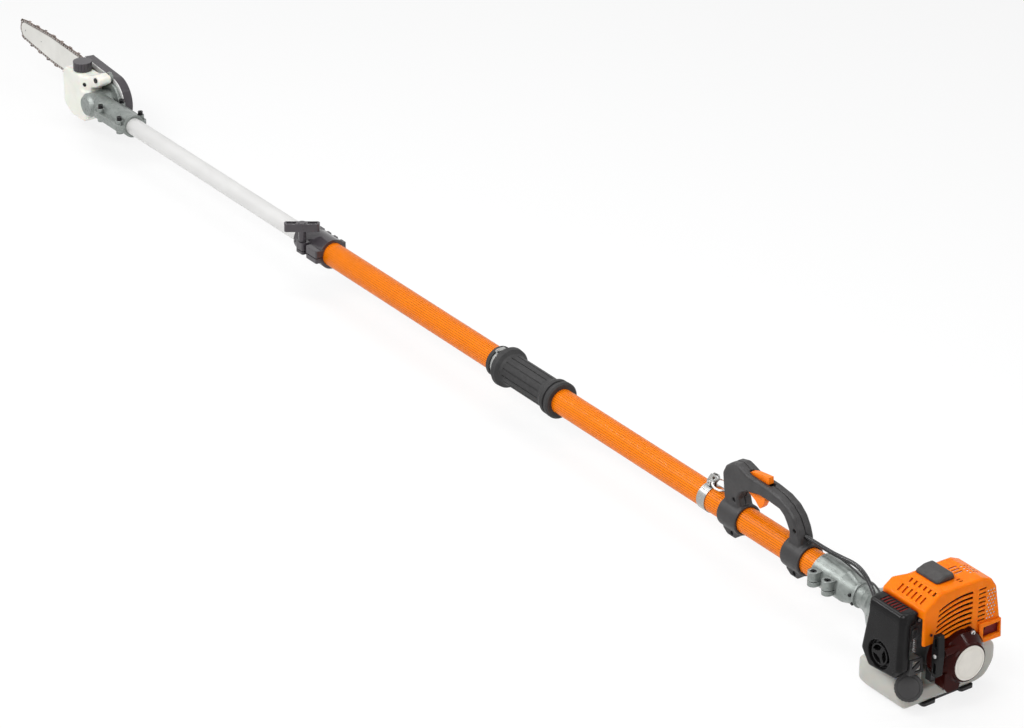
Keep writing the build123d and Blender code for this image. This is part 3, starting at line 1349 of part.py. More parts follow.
HANDLE_Y0 = 54.0 + GAP
with BuildPart() as starter_handle:
    with BuildSketch(beside(HANDLE_Y0)):
        with BuildLine():
            Polyline((ROPE_X - 6.0, ROPE_Z - 40.0), (ROPE_X + 6.0, ROPE_Z - 40.0), (ROPE_X + 9.0, ROPE_Z),
                     (ROPE_X + 6.0, ROPE_Z + 40.0), (ROPE_X - 6.0, ROPE_Z + 40.0), (ROPE_X - 9.0, ROPE_Z), close=True)
        make_face()
        fillet(vertices(), 3.0)
        with Locations((ROPE_X, ROPE_Z - 24.0), (ROPE_X, ROPE_Z + 24.0)):
            RectangleRounded(7.0, 20.0, 2.0, mode=Mode.SUBTRACT)
    extrude(amount=-13.0)
    with BuildSketch(beside(HANDLE_Y0 - 3.0)):
        with Locations((ROPE_X, ROPE_Z)):
            Circle(6.0)
    extrude(amount=-5.0)
    with BuildSketch(beside(HANDLE_Y0 - 4.0)):
        with Locations((ROPE_X, ROPE_Z)):
            Circle(ROPE_R)
    extrude(amount=-8.0, mode=Mode.SUBTRACT)
starter_handle.part.label = "starter_handle"

# ================================================================= fuel tank
TANK_X0 = -46.0
TANK_X1 = 84.0
TANK_CORNER = 30.0
TANK_TIGHT = 10.0        # corner under the exhaust
FUEL_LOW = FOOT_T - AXIS_H
FUEL_HIGH = -34.0
RIGHT_HIGH = -19.0
FUEL_WALL = 4.0
CAP_AT = (-41.3, 81.3, AXIS_H - 48.0)
CAP_DIR = (-0.62, 0.62, 0.48)
CAP_PLANE = Plane(origin=CAP_AT, x_dir=(0.707, 0.707, 0), z_dir=CAP_DIR)
FUEL_CAP_R = 24.5
FUEL_NECK_R = 17.0
SEAT = (62.0, 90.0)      # flat cut round the filler neck
SEAT_DROP = 18.0


def fuel_body(inset):
    """Tank body shrunk by inset on all sides: a trough section with rounded corners in plan."""
    section = ((88.0 - inset, FUEL_LOW + inset), (98.0 - inset, -74.0), (101.0 - inset, -52.0),
               (97.0 - inset, FUEL_HIGH - inset), (58.0 + inset, FUEL_HIGH - inset), (58.0 + inset, TRENCH_Z - inset),
               (-58.0 - inset, TRENCH_Z - inset), (-58.0 - inset, RIGHT_HIGH - inset),
               (-104.0 + inset, RIGHT_HIGH - inset), (-110.0 + inset, -34.0), (-108.0 + inset, -54.0),
               (-92.0 + inset, -78.0), (-70.0 + inset, FUEL_LOW + inset))
    with BuildPart() as body:
        with BuildSketch(across(TANK_X0 + inset)):
            with BuildLine():
                Polyline(*section, close=True)
            make_face()
        extrude(amount=TANK_X1 - TANK_X0 - 2 * inset)
        # bullnose front, softened rear
        front, rear = TANK_X1 - inset, TANK_X0 + inset
        with BuildSketch(beside(150.0)):
            with BuildLine():
                Polyline((rear + 8.0, FUEL_LOW), (front - 20.0, FUEL_LOW), (front - 6.0, FUEL_LOW + 11.0), (front, -68.0),
                         (front, -54.0), (front - 6.0, -42.0), (front - 22.0, -29.0), (front - 30.0, RIGHT_HIGH + 1.0),
                         (rear + 6.0, RIGHT_HIGH + 1.0), (rear, RIGHT_HIGH - 6.0), (rear, FUEL_LOW + 9.0), close=True)
            make_face()
        extrude(amount=300.0, mode=Mode.INTERSECT)
        with BuildSketch(above(FUEL_LOW)):
            with Locations(((TANK_X0 + TANK_X1) / 2, -4.5)):
                Rectangle(TANK_X1 - TANK_X0 - 2 * inset, 211.0 - 2 * inset)
            fillet(vertices().sort_by(lambda corner: corner.X + corner.Y)[0], TANK_TIGHT - inset)
            fillet(vertices().sort_by(lambda corner: corner.X + corner.Y)[2:], TANK_CORNER - inset)
        extrude(amount=100.0, mode=Mode.INTERSECT)
        # hump beside the starter
        if inset == 0:
            with BuildSketch(above(FUEL_HIGH - 12.0)):
                with Locations((TANK_X0 + 23.0, 71.0)):
                    RectangleRounded(46.0, 34.0, 8.0)
            extrude(amount=48.0)
        with BuildSketch(CAP_PLANE.offset(-inset)):
            with Locations((0, SEAT_DROP)):
                Rectangle(*SEAT)
        extrude(amount=80.0, mode=Mode.SUBTRACT)
    return body


fuel_inside = fuel_body(FUEL_WALL)
fuel_outside = fuel_body(0)
with BuildPart() as fuel_tank:
    add(fuel_outside.part)
    with BuildSketch(CAP_PLANE.offset(-FUEL_WALL)):
        Circle(FUEL_NECK_R)
    extrude(amount=FUEL_WALL + 4.0)
    add(fuel_inside.part, mode=Mode.SUBTRACT)
    with BuildSketch(CAP_PLANE.offset(-2 * FUEL_WALL)):
        Circle(FUEL_NECK_R - 3.0)
    extrude(amount=40.0, mode=Mode.SUBTRACT)
fuel_tank.part.label = "fuel_tank"

with BuildPart() as fuel_cap:
    with BuildSketch(CAP_PLANE.offset(4.0)):
        Circle(FUEL_CAP_R)
        with PolarLocations(FUEL_CAP_R, 24):
            Circle(0.9, mode=Mode.SUBTRACT)
    extrude(amount=11.0)
    with BuildSketch(CAP_PLANE.offset(4.0)):
        Circle(FUEL_NECK_R - 3.0 - FIT)
    extrude(amount=-8.0)
    with BuildSketch(CAP_PLANE.offset(15.0)):
        Circle(20.0)
        Circle(18.5, mode=Mode.SUBTRACT)
    extrude(amount=-0.8, mode=Mode.SUBTRACT)
fuel_cap.part.label = "fuel_cap"

with BuildPart() as stand:
    with BuildSketch(Plane.XY):
        with Locations((0, 34.0), (0, -50.0)):
            RectangleRounded(88.0, 30.0, 6.0)
        with Locations((-30.0, -8.0), (0, -8.0), (30.0, -8.0)):
            Rectangle(12.0, 80.0)
    extrude(amount=FOOT_T)
stand.part.label = "stand"

# ================================================================= intake side
FILTER_Y0 = 96.0
FILTER_Y1 = 118.0
FILTER_SIDE = ((-56.0, 96.0), (30.0, 96.0), (48.0, 2.0), (26.0, -27.0), (-38.0, -22.0), (-54.0, -4.0))
KNOB_POS = (-2.0, 10.0)
KNOB_RECESS_R = 27.0
CHOKE_PIN = (22.0, -14.0)
CHOKE_PIN_R = 2.5
with BuildPart() as filter_cover:
    with BuildSketch(beside(FILTER_Y0)):
        with BuildLine():
            Polyline(*FILTER_SIDE, close=True)
        make_face()
        fillet(vertices(), 8.0)
    extrude(amount=-(FILTER_Y1 - FILTER_Y0))
    chamfer(filter_cover.faces().sort_by(Axis.Y)[-1].edges(), 6.0)
    with BuildSketch(across(-56.0)):
        with BuildLine():
            Polyline((84.0, 92.0), (84.0, 106.0), (100.0, 103.0), (108.0, 99.0), (108.0, 86.0), (97.0, 86.0), close=True)
        make_face()
    extrude(amount=84.0)
    with BuildSketch(beside(FILTER_Y0 - 1.0)):
        with BuildLine():
            Polyline((-53.0, 92.0), (28.0, 92.0), (45.0, 2.0), (24.5, -24.0), (-36.0, -19.0), (-51.0, -3.0), close=True)
        make_face()
        with Locations(KNOB_POS):
            Circle(KNOB_RECESS_R + WALL, mode=Mode.SUBTRACT)
    extrude(amount=-(FILTER_Y1 - FILTER_Y0 + 1.0 - WALL), mode=Mode.SUBTRACT)
    with BuildSketch(beside(FILTER_Y1 - 9.0)):
        with Locations(KNOB_POS):
            Circle(KNOB_RECESS_R)
    extrude(amount=-20.0, mode=Mode.SUBTRACT)
    with BuildSketch(beside(FILTER_Y1)):
        with Locations(KNOB_POS):
            Circle(4.0 + FIT)
    extrude(amount=40.0, mode=Mode.SUBTRACT)
    with BuildSketch(above(110.0)):
        with Locations(*[(-14.0 + x, 94.0) for x in rows(5, 12.0)]):
            Rectangle(4.0, 13.0)
    extrude(amount=-30.0, mode=Mode.SUBTRACT)
filter_cover.part.label = "filter_cover"

with BuildPart() as filter_base:
    with BuildSketch(beside(FILTER_Y0 - GAP)):
        with BuildLine():
            Polyline((-52.0, 85.0), (28.0, 85.0), (44.0, 2.0), (24.0, -24.0), (-36.0, -19.0), (-50.0, -3.0), close=True)
        make_face()
        with Locations((0, 66.0)):
            Circle(7.0, mode=Mode.SUBTRACT)
        with Locations(KNOB_POS):
            Circle(4.0 + FIT, mode=Mode.SUBTRACT)
    extrude(amount=3.0)
    # pivot post of the choke lever
    with BuildSketch(beside(FILTER_Y0 - 2 * GAP)):
        with Locations(CHOKE_PIN):
            Circle(CHOKE_PIN_R)
    extrude(amount=8.0)
    with BuildSketch(across(-57.0)):
        with BuildLine():
            Polyline((95.0, 16.0), (68.0, 13.0), (66.0, -14.0), (95.0, -14.0), close=True)
        make_face()
        with BuildLine():
            Polyline((91.0, 12.0), (72.0, 9.0), (91.0, -3.0), close=True)
        make_face(mode=Mode.SUBTRACT)
        with BuildLine():
            Polyline((70.0, 4.0), (70.0, -10.0), (86.0, -10.0), close=True)
        make_face(mode=Mode.SUBTRACT)
    extrude(amount=4.0)
    with BuildSketch(across(-57.0)):
        with Locations((94.0, 0)):
            Rectangle(3.0, 28.0)
    extrude(amount=20.0)
filter_base.part.label = "filter_base"

with BuildPart() as filter_knob:
    with BuildSketch(beside(FILTER_Y1 - 9.0 + GAP)):
        with Locations(KNOB_POS):
            Circle(20.0)
            Circle(17.0, mode=Mode.SUBTRACT)
            with PolarLocations(9.0, 3):
                RectangleRounded(20.0, 7.0, 2.0)
            Circle(7.0)
    extrude(amount=-7.0)
    with BuildSketch(beside(FILTER_Y1 - 8.0)):
        with Locations(KNOB_POS):
            Circle(4.0)
    extrude(amount=FILTER_Y1 - 8.0 - FILTER_Y0 + 4.0)
filter_knob.part.label = "filter_knob"

with BuildPart() as carburettor:
    with BuildSketch(beside(40.0)):
        with Locations((0, 66.0)):
            RectangleRounded(44.0, 34.0, 5.0)
            Circle(7.0, mode=Mode.SUBTRACT)
    extrude(amount=-12.0)
    with BuildSketch(beside(52.0)):
        with Locations((0, 60.0)):
            RectangleRounded(40.0, 40.0, 4.0)
        with Locations((0, 66.0)):
            Circle(7.0, mode=Mode.SUBTRACT)
    extrude(amount=-(FILTER_Y0 - GAP - 3.0 - 52.0))
    with BuildSketch(across(-40.0)):
        with Locations((66.0, 60.0)):
            Circle(11.0)
        with Locations((84.0, 46.0)):
            Circle(4.0)
    extrude(amount=24.0)
    with BuildSketch(above(30.0)):
        with Locations((0, 72.0)):
            Circle(13.0)
    extrude(amount=12.0)
carburettor.part.label = "carburettor"

with BuildPart() as choke_lever:
    with BuildSketch(beside(FILTER_Y0 - 3.0 - 2 * GAP)):
        with BuildLine():
            Polyline((16.0, -6.0), (20.0, -20.0), (52.0, -29.0), (62.0, -20.0), (58.0, -12.0), (48.0, -16.0),
                     (26.0, -8.0), close=True)
        make_face()
        with Locations(CHOKE_PIN):
            Circle(CHOKE_PIN_R + FIT, mode=Mode.SUBTRACT)
    extrude(amount=3.0)
choke_lever.part.label = "choke_lever"

# ================================================================= control cables


def bend_radii(points):
    """Fillet radius for every inner corner: as large as its shorter run allows."""
    radii = []
    for a, b, c in zip(points, points[1:], points[2:]):
        before = Vector(*b) - Vector(*a)
        after = Vector(*c) - Vector(*b)
        turn = radians(before.get_angle(after))
        radii.append(0.45 * min(before.length, after.length) / tan(turn / 2))
    return radii


CABLE_ROUTE = ((350.0, 0, CABLE_Z), (280.0, 0, CABLE_Z), (236.0, 3.0, 48.0), (180.0, 17.0, 65.0),
               (136.0, 32.0, 68.0), (96.0, 48.0, 58.0), (66.0, 60.0, 32.0), (40.0, 66.0, 30.0), (22.0, 66.0, 36.0))
WIRE_ROUTE = ((350.0, WIRE_Y, WIRE_Z), (276.0, WIRE_Y, WIRE_Z), (220.0, -5.0, WIRE_Z - 1.0), (188.0, 0, 33.0),
              (160.0, 8.0, 38.0), (128.0, 22.0, 55.0), (92.0, 36.0, 56.0), (58.0, 50.0, 42.0), (40.0, 52.0, 30.0))


def cable(route, radius):
    """Round cable swept along a route given from the axis height."""
    points = [(x, y, AXIS_H + z) for x, y, z in route]
    with BuildPart() as piece:
        with BuildLine():
            path = FilletPolyline(*points, radius=bend_radii(points))
        with BuildSketch(Plane(origin=path @ 0, z_dir=path % 0)):
            Circle(radius)
        sweep()
    return piece


throttle_cable = cable(CABLE_ROUTE, CABLE_R - FIT)
throttle_cable.part.label = "throttle_cable"
stop_wire = cable(WIRE_ROUTE, WIRE_R - FIT)
stop_wire.part.label = "stop_wire"

# ================================================================= export
PIECES = (outer_tube, inner_tube, mouth_bush, tail_bush, drive_tube, shaft_guide, shaft_bushes, pinion_rod,
          gear_head, head_clamp, head_bolts, bevel_gear, guide_bar, nose_sprocket, saw_chain,
          drive_sprocket, sprocket_cover, bar_nut, oil_tank, oil_cap, oil_screws, telescope_collar, wing_knob,
          front_grip, hose_clamp, harness_band, harness_bolt, harness_ring, handle_left, handle_right, handle_screws,
          throttle_trigger, throttle_lock, tube_socket, socket_screws, clutch_housing,
          crankshaft, flywheel, clutch_rotor, crankcase, cylinder_block, spark_plug, shroud, plug_cover, muffler,
          starter_housing, starter_disc, starter_reel, starter_rope, starter_handle, fuel_tank,
          fuel_cap, stand, filter_cover, filter_base, filter_knob, carburettor, choke_lever, throttle_cable, stop_wire)
for piece in PIECES:
    export_step(piece.part, "parts/" + piece.part.label + ".step")
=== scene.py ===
"""Looks of the telescoping petrol pole saw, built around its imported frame.

Metres, in the frame of the CAD: +X runs along the pole towards the saw head,
+Y is the operator's left, +Z is up, and z = 0 is the ground under the stand.
"""
from math import cos, pi, radians, sin, sqrt

import bpy
import numpy as np
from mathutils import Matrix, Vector


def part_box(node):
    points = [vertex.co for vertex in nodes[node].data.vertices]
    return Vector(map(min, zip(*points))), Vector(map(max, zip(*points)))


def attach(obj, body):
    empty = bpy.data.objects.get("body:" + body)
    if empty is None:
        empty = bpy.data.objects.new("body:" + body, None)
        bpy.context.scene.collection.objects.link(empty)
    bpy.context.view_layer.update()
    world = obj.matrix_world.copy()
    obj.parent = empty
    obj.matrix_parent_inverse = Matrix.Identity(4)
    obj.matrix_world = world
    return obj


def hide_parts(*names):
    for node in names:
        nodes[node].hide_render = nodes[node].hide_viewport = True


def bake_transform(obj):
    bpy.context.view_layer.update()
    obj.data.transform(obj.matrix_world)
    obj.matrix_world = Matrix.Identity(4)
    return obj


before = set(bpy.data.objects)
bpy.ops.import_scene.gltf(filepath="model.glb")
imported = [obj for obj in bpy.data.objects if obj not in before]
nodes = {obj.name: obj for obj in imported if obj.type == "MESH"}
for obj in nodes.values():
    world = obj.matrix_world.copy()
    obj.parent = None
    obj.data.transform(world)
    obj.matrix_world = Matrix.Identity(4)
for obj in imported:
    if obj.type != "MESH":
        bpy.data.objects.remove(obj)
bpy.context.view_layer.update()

MM = 0.001
AXIS_H = 98 * MM          # pole and crank axis above the ground


def linked(name, data):
    """A new object of the scene."""
    made = bpy.data.objects.new(name, data)
    bpy.context.scene.collection.objects.link(made)
    return made


# ================================================================= camera
CAMERA_AT = Vector((-4.087, 3.757, 3.412))
CAMERA_YAW = radians(-35.23)
CAMERA_PITCH = radians(-26.89)
FOCAL_PX = 3775           # focal length in pixels of a picture FRAME_PX wide
FRAME_PX = 1024
SENSOR = 36               # width of the camera's sensor in mm
CLIP_NEAR = 0.1
CLIP_FAR = 60

camera_data = bpy.data.cameras.new("camera")
camera_data.sensor_width = SENSOR
camera_data.lens = SENSOR * FOCAL_PX / FRAME_PX
camera_data.clip_start = CLIP_NEAR
camera_data.clip_end = CLIP_FAR
camera = linked("camera", camera_data)
look = Vector((cos(CAMERA_PITCH) * cos(CAMERA_YAW), cos(CAMERA_PITCH) * sin(CAMERA_YAW), sin(CAMERA_PITCH)))
camera.location = CAMERA_AT
camera.rotation_mode = "QUATERNION"
camera.rotation_quaternion = look.to_track_quat("-Z", "Y")
bpy.context.scene.camera = camera


# ================================================================= material nodes
MIX_A = 6                 # colour sockets of a Mix node
MIX_B = 7
MIX_RESULT = 2
NOISE_ROUGH = 0.55


def put(tree, kind, inputs=None, **settings):
    """A new shader node with its settings, values and links."""
    node = tree.nodes.new("ShaderNode" + kind)
    for key, value in settings.items():
        setattr(node, key, value)
    for key, value in (inputs or {}).items():
        if isinstance(value, bpy.types.NodeSocket):
            tree.links.new(value, node.inputs[key])
        else:
            node.inputs[key].default_value = value
    return node


def maths(tree, operation, *values):
    """Result of a Math node."""
    return put(tree, "Math", dict(enumerate(values)), operation=operation).outputs["Value"]


def rgb(colour):
    """A colour as the sockets take it, with its alpha."""
    return (*colour, 1.0)


def dimmed(colour, share):
    """A colour at a share of its brightness."""
    return tuple(c * share for c in colour)


def mixed(tree, factor, a, b):
    """Colour a where the factor is 0 and b where it is 1."""
    node = put(tree, "Mix", {"Factor": factor}, data_type="RGBA")
    for socket, value in ((node.inputs[MIX_A], a), (node.inputs[MIX_B], b)):
        if isinstance(value, bpy.types.NodeSocket):
            tree.links.new(value, socket)
        else:
            socket.default_value = rgb(value)
    return node.outputs[MIX_RESULT]


def spread(tree, value, span, low=0.0, high=1.0):
    """The value's span, stretched from low to high and clamped."""
    limits = {"From Min": span[0], "From Max": span[1], "To Min": low, "To Max": high}
    return put(tree, "MapRange", {"Value": value, **limits}).outputs["Result"]


def places(tree, stretch=(1, 1, 1)):
    """Coordinates on the piece in metres, stretched along the axes."""
    coords = put(tree, "TexCoord")
    return put(tree, "Mapping", {"Vector": coords.outputs["Object"], "Scale": stretch}).outputs["Vector"]


def noise(tree, where, size_mm, detail=3.0):
    """Noise with features of about a size."""
    inputs = {"Vector": where, "Scale": 1 / (size_mm * MM), "Detail": detail, "Roughness": NOISE_ROUGH}
    return put(tree, "TexNoise", inputs).outputs["Fac"]


# what part of a noise, a cosine, an occlusion or a bend each layer of a finish answers to
TONE_SPAN = (0.35, 0.65)
STREAK_SPAN = (0.3, 0.7)
FLUTE_SPAN = (0.2, 0.95)
CORNER_SHADE_SPAN = (0.25, 0.85)
WEAR_AND_GLINT_SPAN = (0.99, 0.93)
PATCH_SPAN = (0.4, 0.6)
GLOSS_SPAN = (0.3, 0.7)
# the own colour's brightness that is left in a streak, in the painted shade of a flute and in the painted
# shade of a corner
STREAK_SHADE = 0.45
FLUTE_SHADE = 0.35
CORNER_SHADE_BRIGHTNESS = 0.25
STREAK_MM = 1.0           # streaks, before the stretch of the coordinates
CORNER_SHADE_REACH = 7 * MM      # how near another face has to be for painted shade in a corner
PATCH_MM = 6.0            # patches of the wear and painted glint
PATCH_LEAST = 0.2         # share of the wear and painted glint between patches
GLOSS_FINER = 3           # how much finer the gloss varies than the tone
SOFT_SAMPLES = 4          # rays for the corners and for the edges


def flute_wave(tree, here, count):
    """A cosine round the pole axis, with its top in each of a count of flutes."""
    spot = put(tree, "SeparateXYZ", {"Vector": here})
    rise = maths(tree, "SUBTRACT", spot.outputs["Z"], AXIS_H)
    turn = maths(tree, "ARCTAN2", rise, spot.outputs["Y"])
    return maths(tree, "COSINE", maths(tree, "MULTIPLY", turn, count))


def worn_and_glinting_edges(tree, here, soft, amount):
    """Up to the amount where the softened normal leaves the face's own, in patches: wear, and a painted glint
    on the edges.
    """
    flat = put(tree, "NewGeometry").outputs["Normal"]
    bend = put(tree, "VectorMath", {0: soft, 1: flat}, operation="DOT_PRODUCT").outputs["Value"]
    patch = spread(tree, noise(tree, here, PATCH_MM), PATCH_SPAN, PATCH_LEAST)
    return maths(tree, "MULTIPLY", spread(tree, bend, WEAR_AND_GLINT_SPAN, 0.0, amount), patch)


def material(name, colour, rough, metal=0.0, tone=0.08, tone_mm=45.0, grain=0.0, grain_mm=0.6,
             grain_depth=0.05, rough_span=0.06, grime=0.35, grime_colour=None, wear=0.0,
             wear_colour=(0.5, 0.5, 0.5), edge_mm=0.5, streak=None, streak_tone=0.0, flutes=0, flute_tone=0.0,
             **shader):
    """A procedural finish in layers.

    They are a drifting tone, streaks, painted shade in the flutes, painted shade in the corners, edges
    lighter with wear and a painted glint, an uneven gloss and grain.
    """
    made = bpy.data.materials.new(name)
    made.use_nodes = True
    tree = made.node_tree
    bsdf = tree.nodes["Principled BSDF"]
    here = places(tree)
    darker = dimmed(colour, 1 - tone)
    lighter = tuple(min(1.0, c) for c in dimmed(colour, 1 + tone))
    base = mixed(tree, spread(tree, noise(tree, here, tone_mm), TONE_SPAN), darker, lighter)
    if streak:
        lines = noise(tree, places(tree, streak), STREAK_MM, detail=2.0)
        amount = spread(tree, lines, STREAK_SPAN, 0.0, streak_tone)
        base = mixed(tree, amount, base, dimmed(colour, STREAK_SHADE))
    # painted shade in the grooves of the flutes: darker lines round the pole
    if flutes:
        amount = spread(tree, flute_wave(tree, here, flutes), FLUTE_SPAN, 0.0, flute_tone)
        base = mixed(tree, amount, base, dimmed(colour, FLUTE_SHADE))
    # painted shade: the colour darkens where other faces are near, in corners, creases and recesses
    if grime:
        corners = put(tree, "AmbientOcclusion", {"Distance": CORNER_SHADE_REACH}, samples=SOFT_SAMPLES)
        amount = spread(tree, corners.outputs["AO"], CORNER_SHADE_SPAN, grime, 0.0)
        base = mixed(tree, amount, base, grime_colour or dimmed(colour, CORNER_SHADE_BRIGHTNESS))
    normal = put(tree, "Bevel", {"Radius": edge_mm * MM}, samples=SOFT_SAMPLES).outputs["Normal"]
    # lighter edges, in patches: partly wear and partly a painted glint
    if wear:
        base = mixed(tree, worn_and_glinting_edges(tree, here, normal, wear), base, wear_colour)
    tree.links.new(base, bsdf.inputs["Base Color"])
    gloss = noise(tree, here, tone_mm / GLOSS_FINER, detail=4.0)
    gloss = spread(tree, gloss, GLOSS_SPAN, rough - rough_span, rough + rough_span)
    tree.links.new(gloss, bsdf.inputs["Roughness"])
    bsdf.inputs["Metallic"].default_value = metal
    if grain:
        height = noise(tree, here, grain_mm, detail=2.0)
        relief = {"Height": height, "Strength": grain, "Distance": grain_depth * MM, "Normal": normal}
        normal = put(tree, "Bump", relief).outputs["Normal"]
    tree.links.new(normal, bsdf.inputs["Normal"])
    for key, value in shader.items():
        socket = next(s for s in bsdf.inputs if s.name.lower() == key.replace("_", " "))
        socket.default_value = value
    return made


# ================================================================= finishes
DULL = 0.12               # specular level of oily moulded plastic

# one for each slot of the record
# painted shade: a finish's occlusion layer darkens its corners and creases; on the orange parts it turns a
# deep red that stands for their redder shade
LOOKS = {
    "tube_orange": dict(colour=(0.84, 0.205, 0.003), rough=0.27, tone=0.03, flutes=36, flute_tone=0.5,
                        grime=0.75, grime_colour=(0.42, 0.05, 0.003), edge_mm=0.3, specular_ior_level=0.15),
    "tube_silver": dict(colour=(0.70, 0.695, 0.685), rough=0.38, metal=0.35, tone=0.03, flutes=40,
                        flute_tone=0.12, grime=0.0),
    # the cast grey's bright edges are partly wear and partly painted glints
    "cast_grey": dict(colour=(0.235, 0.256, 0.243), rough=0.34, metal=0.45, tone=0.14, tone_mm=14, grain=0.55,
                      grain_mm=1.1, grain_depth=0.18, rough_span=0.10, grime=0.85,
                      grime_colour=(0.025, 0.028, 0.026), wear=0.8, wear_colour=(0.66, 0.68, 0.67),
                      edge_mm=1.0),
    "dark_alloy": dict(colour=(0.075, 0.075, 0.078), rough=0.5, metal=0.6, tone=0.2, tone_mm=12, grain=0.6,
                       grain_mm=1.2, grain_depth=0.2, grime=0.6, wear=0.3, wear_colour=(0.3, 0.3, 0.3)),
    "bar_steel": dict(colour=(0.76, 0.75, 0.71), rough=0.36, metal=0.40, tone=0.05, tone_mm=60,
                      streak=(8, 300, 700), streak_tone=0.12, grime=0.3, wear=0.25,
                      wear_colour=(0.35, 0.33, 0.30)),
    "chain_steel": dict(colour=(0.22, 0.175, 0.155), rough=0.42, metal=0.75, tone=0.45, tone_mm=9,
                        rough_span=0.15, grime=0.6, grime_colour=(0.02, 0.016, 0.013), wear=0.7,
                        wear_colour=(0.45, 0.43, 0.40), edge_mm=0.25),
    "screw_black": dict(colour=(0.012, 0.012, 0.013), rough=0.36, metal=0.6, tone=0.2, tone_mm=5, grime=0.5,
                        wear=0.5, wear_colour=(0.25, 0.25, 0.25), edge_mm=0.3),
    "screw_zinc": dict(colour=(0.62, 0.62, 0.61), rough=0.30, metal=0.9, tone=0.12, tone_mm=6, grime=0.5,
                       edge_mm=0.3),
    "shaft_steel": dict(colour=(0.50, 0.49, 0.48), rough=0.30, metal=0.95, tone=0.08, streak=(4, 500, 500),
                        streak_tone=0.25),
    "black_plastic": dict(colour=(0.030, 0.0285, 0.029), rough=0.46, tone=0.18, tone_mm=30, grain=0.30,
                          grain_mm=0.5, grain_depth=0.04, grime=0.5, wear=0.25,
                          wear_colour=(0.13, 0.13, 0.13), edge_mm=0.8, specular_ior_level=0.35),
    "black_gloss": dict(colour=(0.009, 0.0085, 0.0088), rough=0.16, tone=0.15, tone_mm=40, rough_span=0.04,
                        grime=0.35, wear=0.15, wear_colour=(0.08, 0.08, 0.08), edge_mm=1.2,
                        specular_ior_level=DULL),
    "brown_black": dict(colour=(0.030, 0.0040, 0.0030), rough=0.12, tone=0.2, tone_mm=35, rough_span=0.04,
                        grime=0.3, wear=0.15, wear_colour=(0.08, 0.04, 0.03), edge_mm=2.4,
                        specular_ior_level=0.07),
    "orange_plastic": dict(colour=(0.84, 0.18, 0.003), rough=0.24, tone=0.04, tone_mm=60, rough_span=0.05,
                           grime=0.9, grime_colour=(0.45, 0.018, 0.003), wear=0.3,
                           wear_colour=(1.0, 0.36, 0.04), edge_mm=1.6, grain=0.06, grain_mm=0.8,
                           grain_depth=0.03, specular_ior_level=0.07,
                           subsurface_weight=0.3, subsurface_radius=(1.0, 0.16, 0.02),
                           subsurface_scale=0.004),
    "trigger_orange": dict(colour=(0.93, 0.20, 0.006), rough=0.30, tone=0.06, tone_mm=12, grime=0.5,
                           grime_colour=(0.5, 0.05, 0.004), edge_mm=0.8, specular_ior_level=0.12),
    "tank_grey": dict(colour=(0.42, 0.412, 0.375), rough=0.34, tone=0.07, tone_mm=70, grain=0.10,
                      grain_mm=1.6, grain_depth=0.05, rough_span=0.05, grime=0.45,
                      grime_colour=(0.24, 0.205, 0.155), edge_mm=1.0, subsurface_weight=0.2,
                      subsurface_scale=0.006),
    "tank_cream": dict(colour=(0.84, 0.83, 0.76), rough=0.36, tone=0.04, tone_mm=50, grain=0.12, grain_mm=1.4,
                       grain_depth=0.05, grime=0.35, grime_colour=(0.50, 0.46, 0.36), edge_mm=1.5,
                       subsurface_weight=0.2, subsurface_scale=0.006),
    "foam_black": dict(colour=(0.016, 0.0155, 0.016), rough=0.68, tone=0.25, tone_mm=10, grain=0.7,
                       grain_mm=0.9, grain_depth=0.25, grime=0.4, wear=0.2, wear_colour=(0.06, 0.06, 0.06),
                       edge_mm=0.8),
    "cable_black": dict(colour=(0.012, 0.012, 0.013), rough=0.24, tone=0.2, tone_mm=15, grain=0.15, grime=0.5,
                        edge_mm=0.2),
    "rubber_dark": dict(colour=(0.040, 0.037, 0.036), rough=0.56, tone=0.2, tone_mm=14, grain=0.35,
                        grain_mm=0.7, grain_depth=0.08, grime=0.4, wear=0.2, wear_colour=(0.13, 0.12, 0.115),
                        edge_mm=1.2, specular_ior_level=0.35),
    "disc_white": dict(colour=(0.72, 0.69, 0.63), rough=0.34, tone=0.03, tone_mm=20, grime=0.3,
                       grime_colour=(0.35, 0.32, 0.28), edge_mm=0.4),
    "bush_white": dict(colour=(0.74, 0.73, 0.69), rough=0.45, tone=0.05, grime=0.4),
    "rope": dict(colour=(0.03, 0.03, 0.03), rough=0.8, tone=0.4, tone_mm=1.5, grain=0.8, grain_mm=0.8,
                 grain_depth=0.3),
    "band_steel": dict(colour=(0.38, 0.385, 0.375), rough=0.26, metal=0.85, tone=0.08, tone_mm=10, grime=0.5,
                       edge_mm=0.4),
}
finishes = {name: material(name, **look) for name, look in LOOKS.items()}


def slot_name(place):
    """The record's name for a material slot."""
    return place.material.name.split(".")[0]


for cad_node in nodes.values():
    for place in cad_node.material_slots:
        place.material = finishes[slot_name(place)]

# glossier plastic of the head's cover and cap and of the collar and its knob, and a dark red for the filter
# foam and the exhaust mouth that is orange with painted shade
SHELL = material("black_shell", colour=(0.046, 0.040, 0.046), rough=0.12, tone=0.15, tone_mm=30, grain=0.15,
                 grain_mm=0.8, grain_depth=0.03, rough_span=0.05, grime=0.5, wear=0.3,
                 wear_colour=(0.16, 0.155, 0.165), edge_mm=1.2)
SHADED_RED = material("deep_red", colour=(0.15, 0.013, 0.012), rough=0.45, tone=0.2, tone_mm=8, grime=0.5,
                    edge_mm=0.3, specular_ior_level=DULL)
for shiny in ("telescope_collar", "wing_knob", "sprocket_cover", "oil_cap"):
    nodes[shiny].material_slots[0].material = SHELL


# ================================================================= making pieces
SHARP = radians(35)       # turn between two faces that shades as an edge
CREASE = 0.9              # the same, in radians, on a moulding with slots cut into it


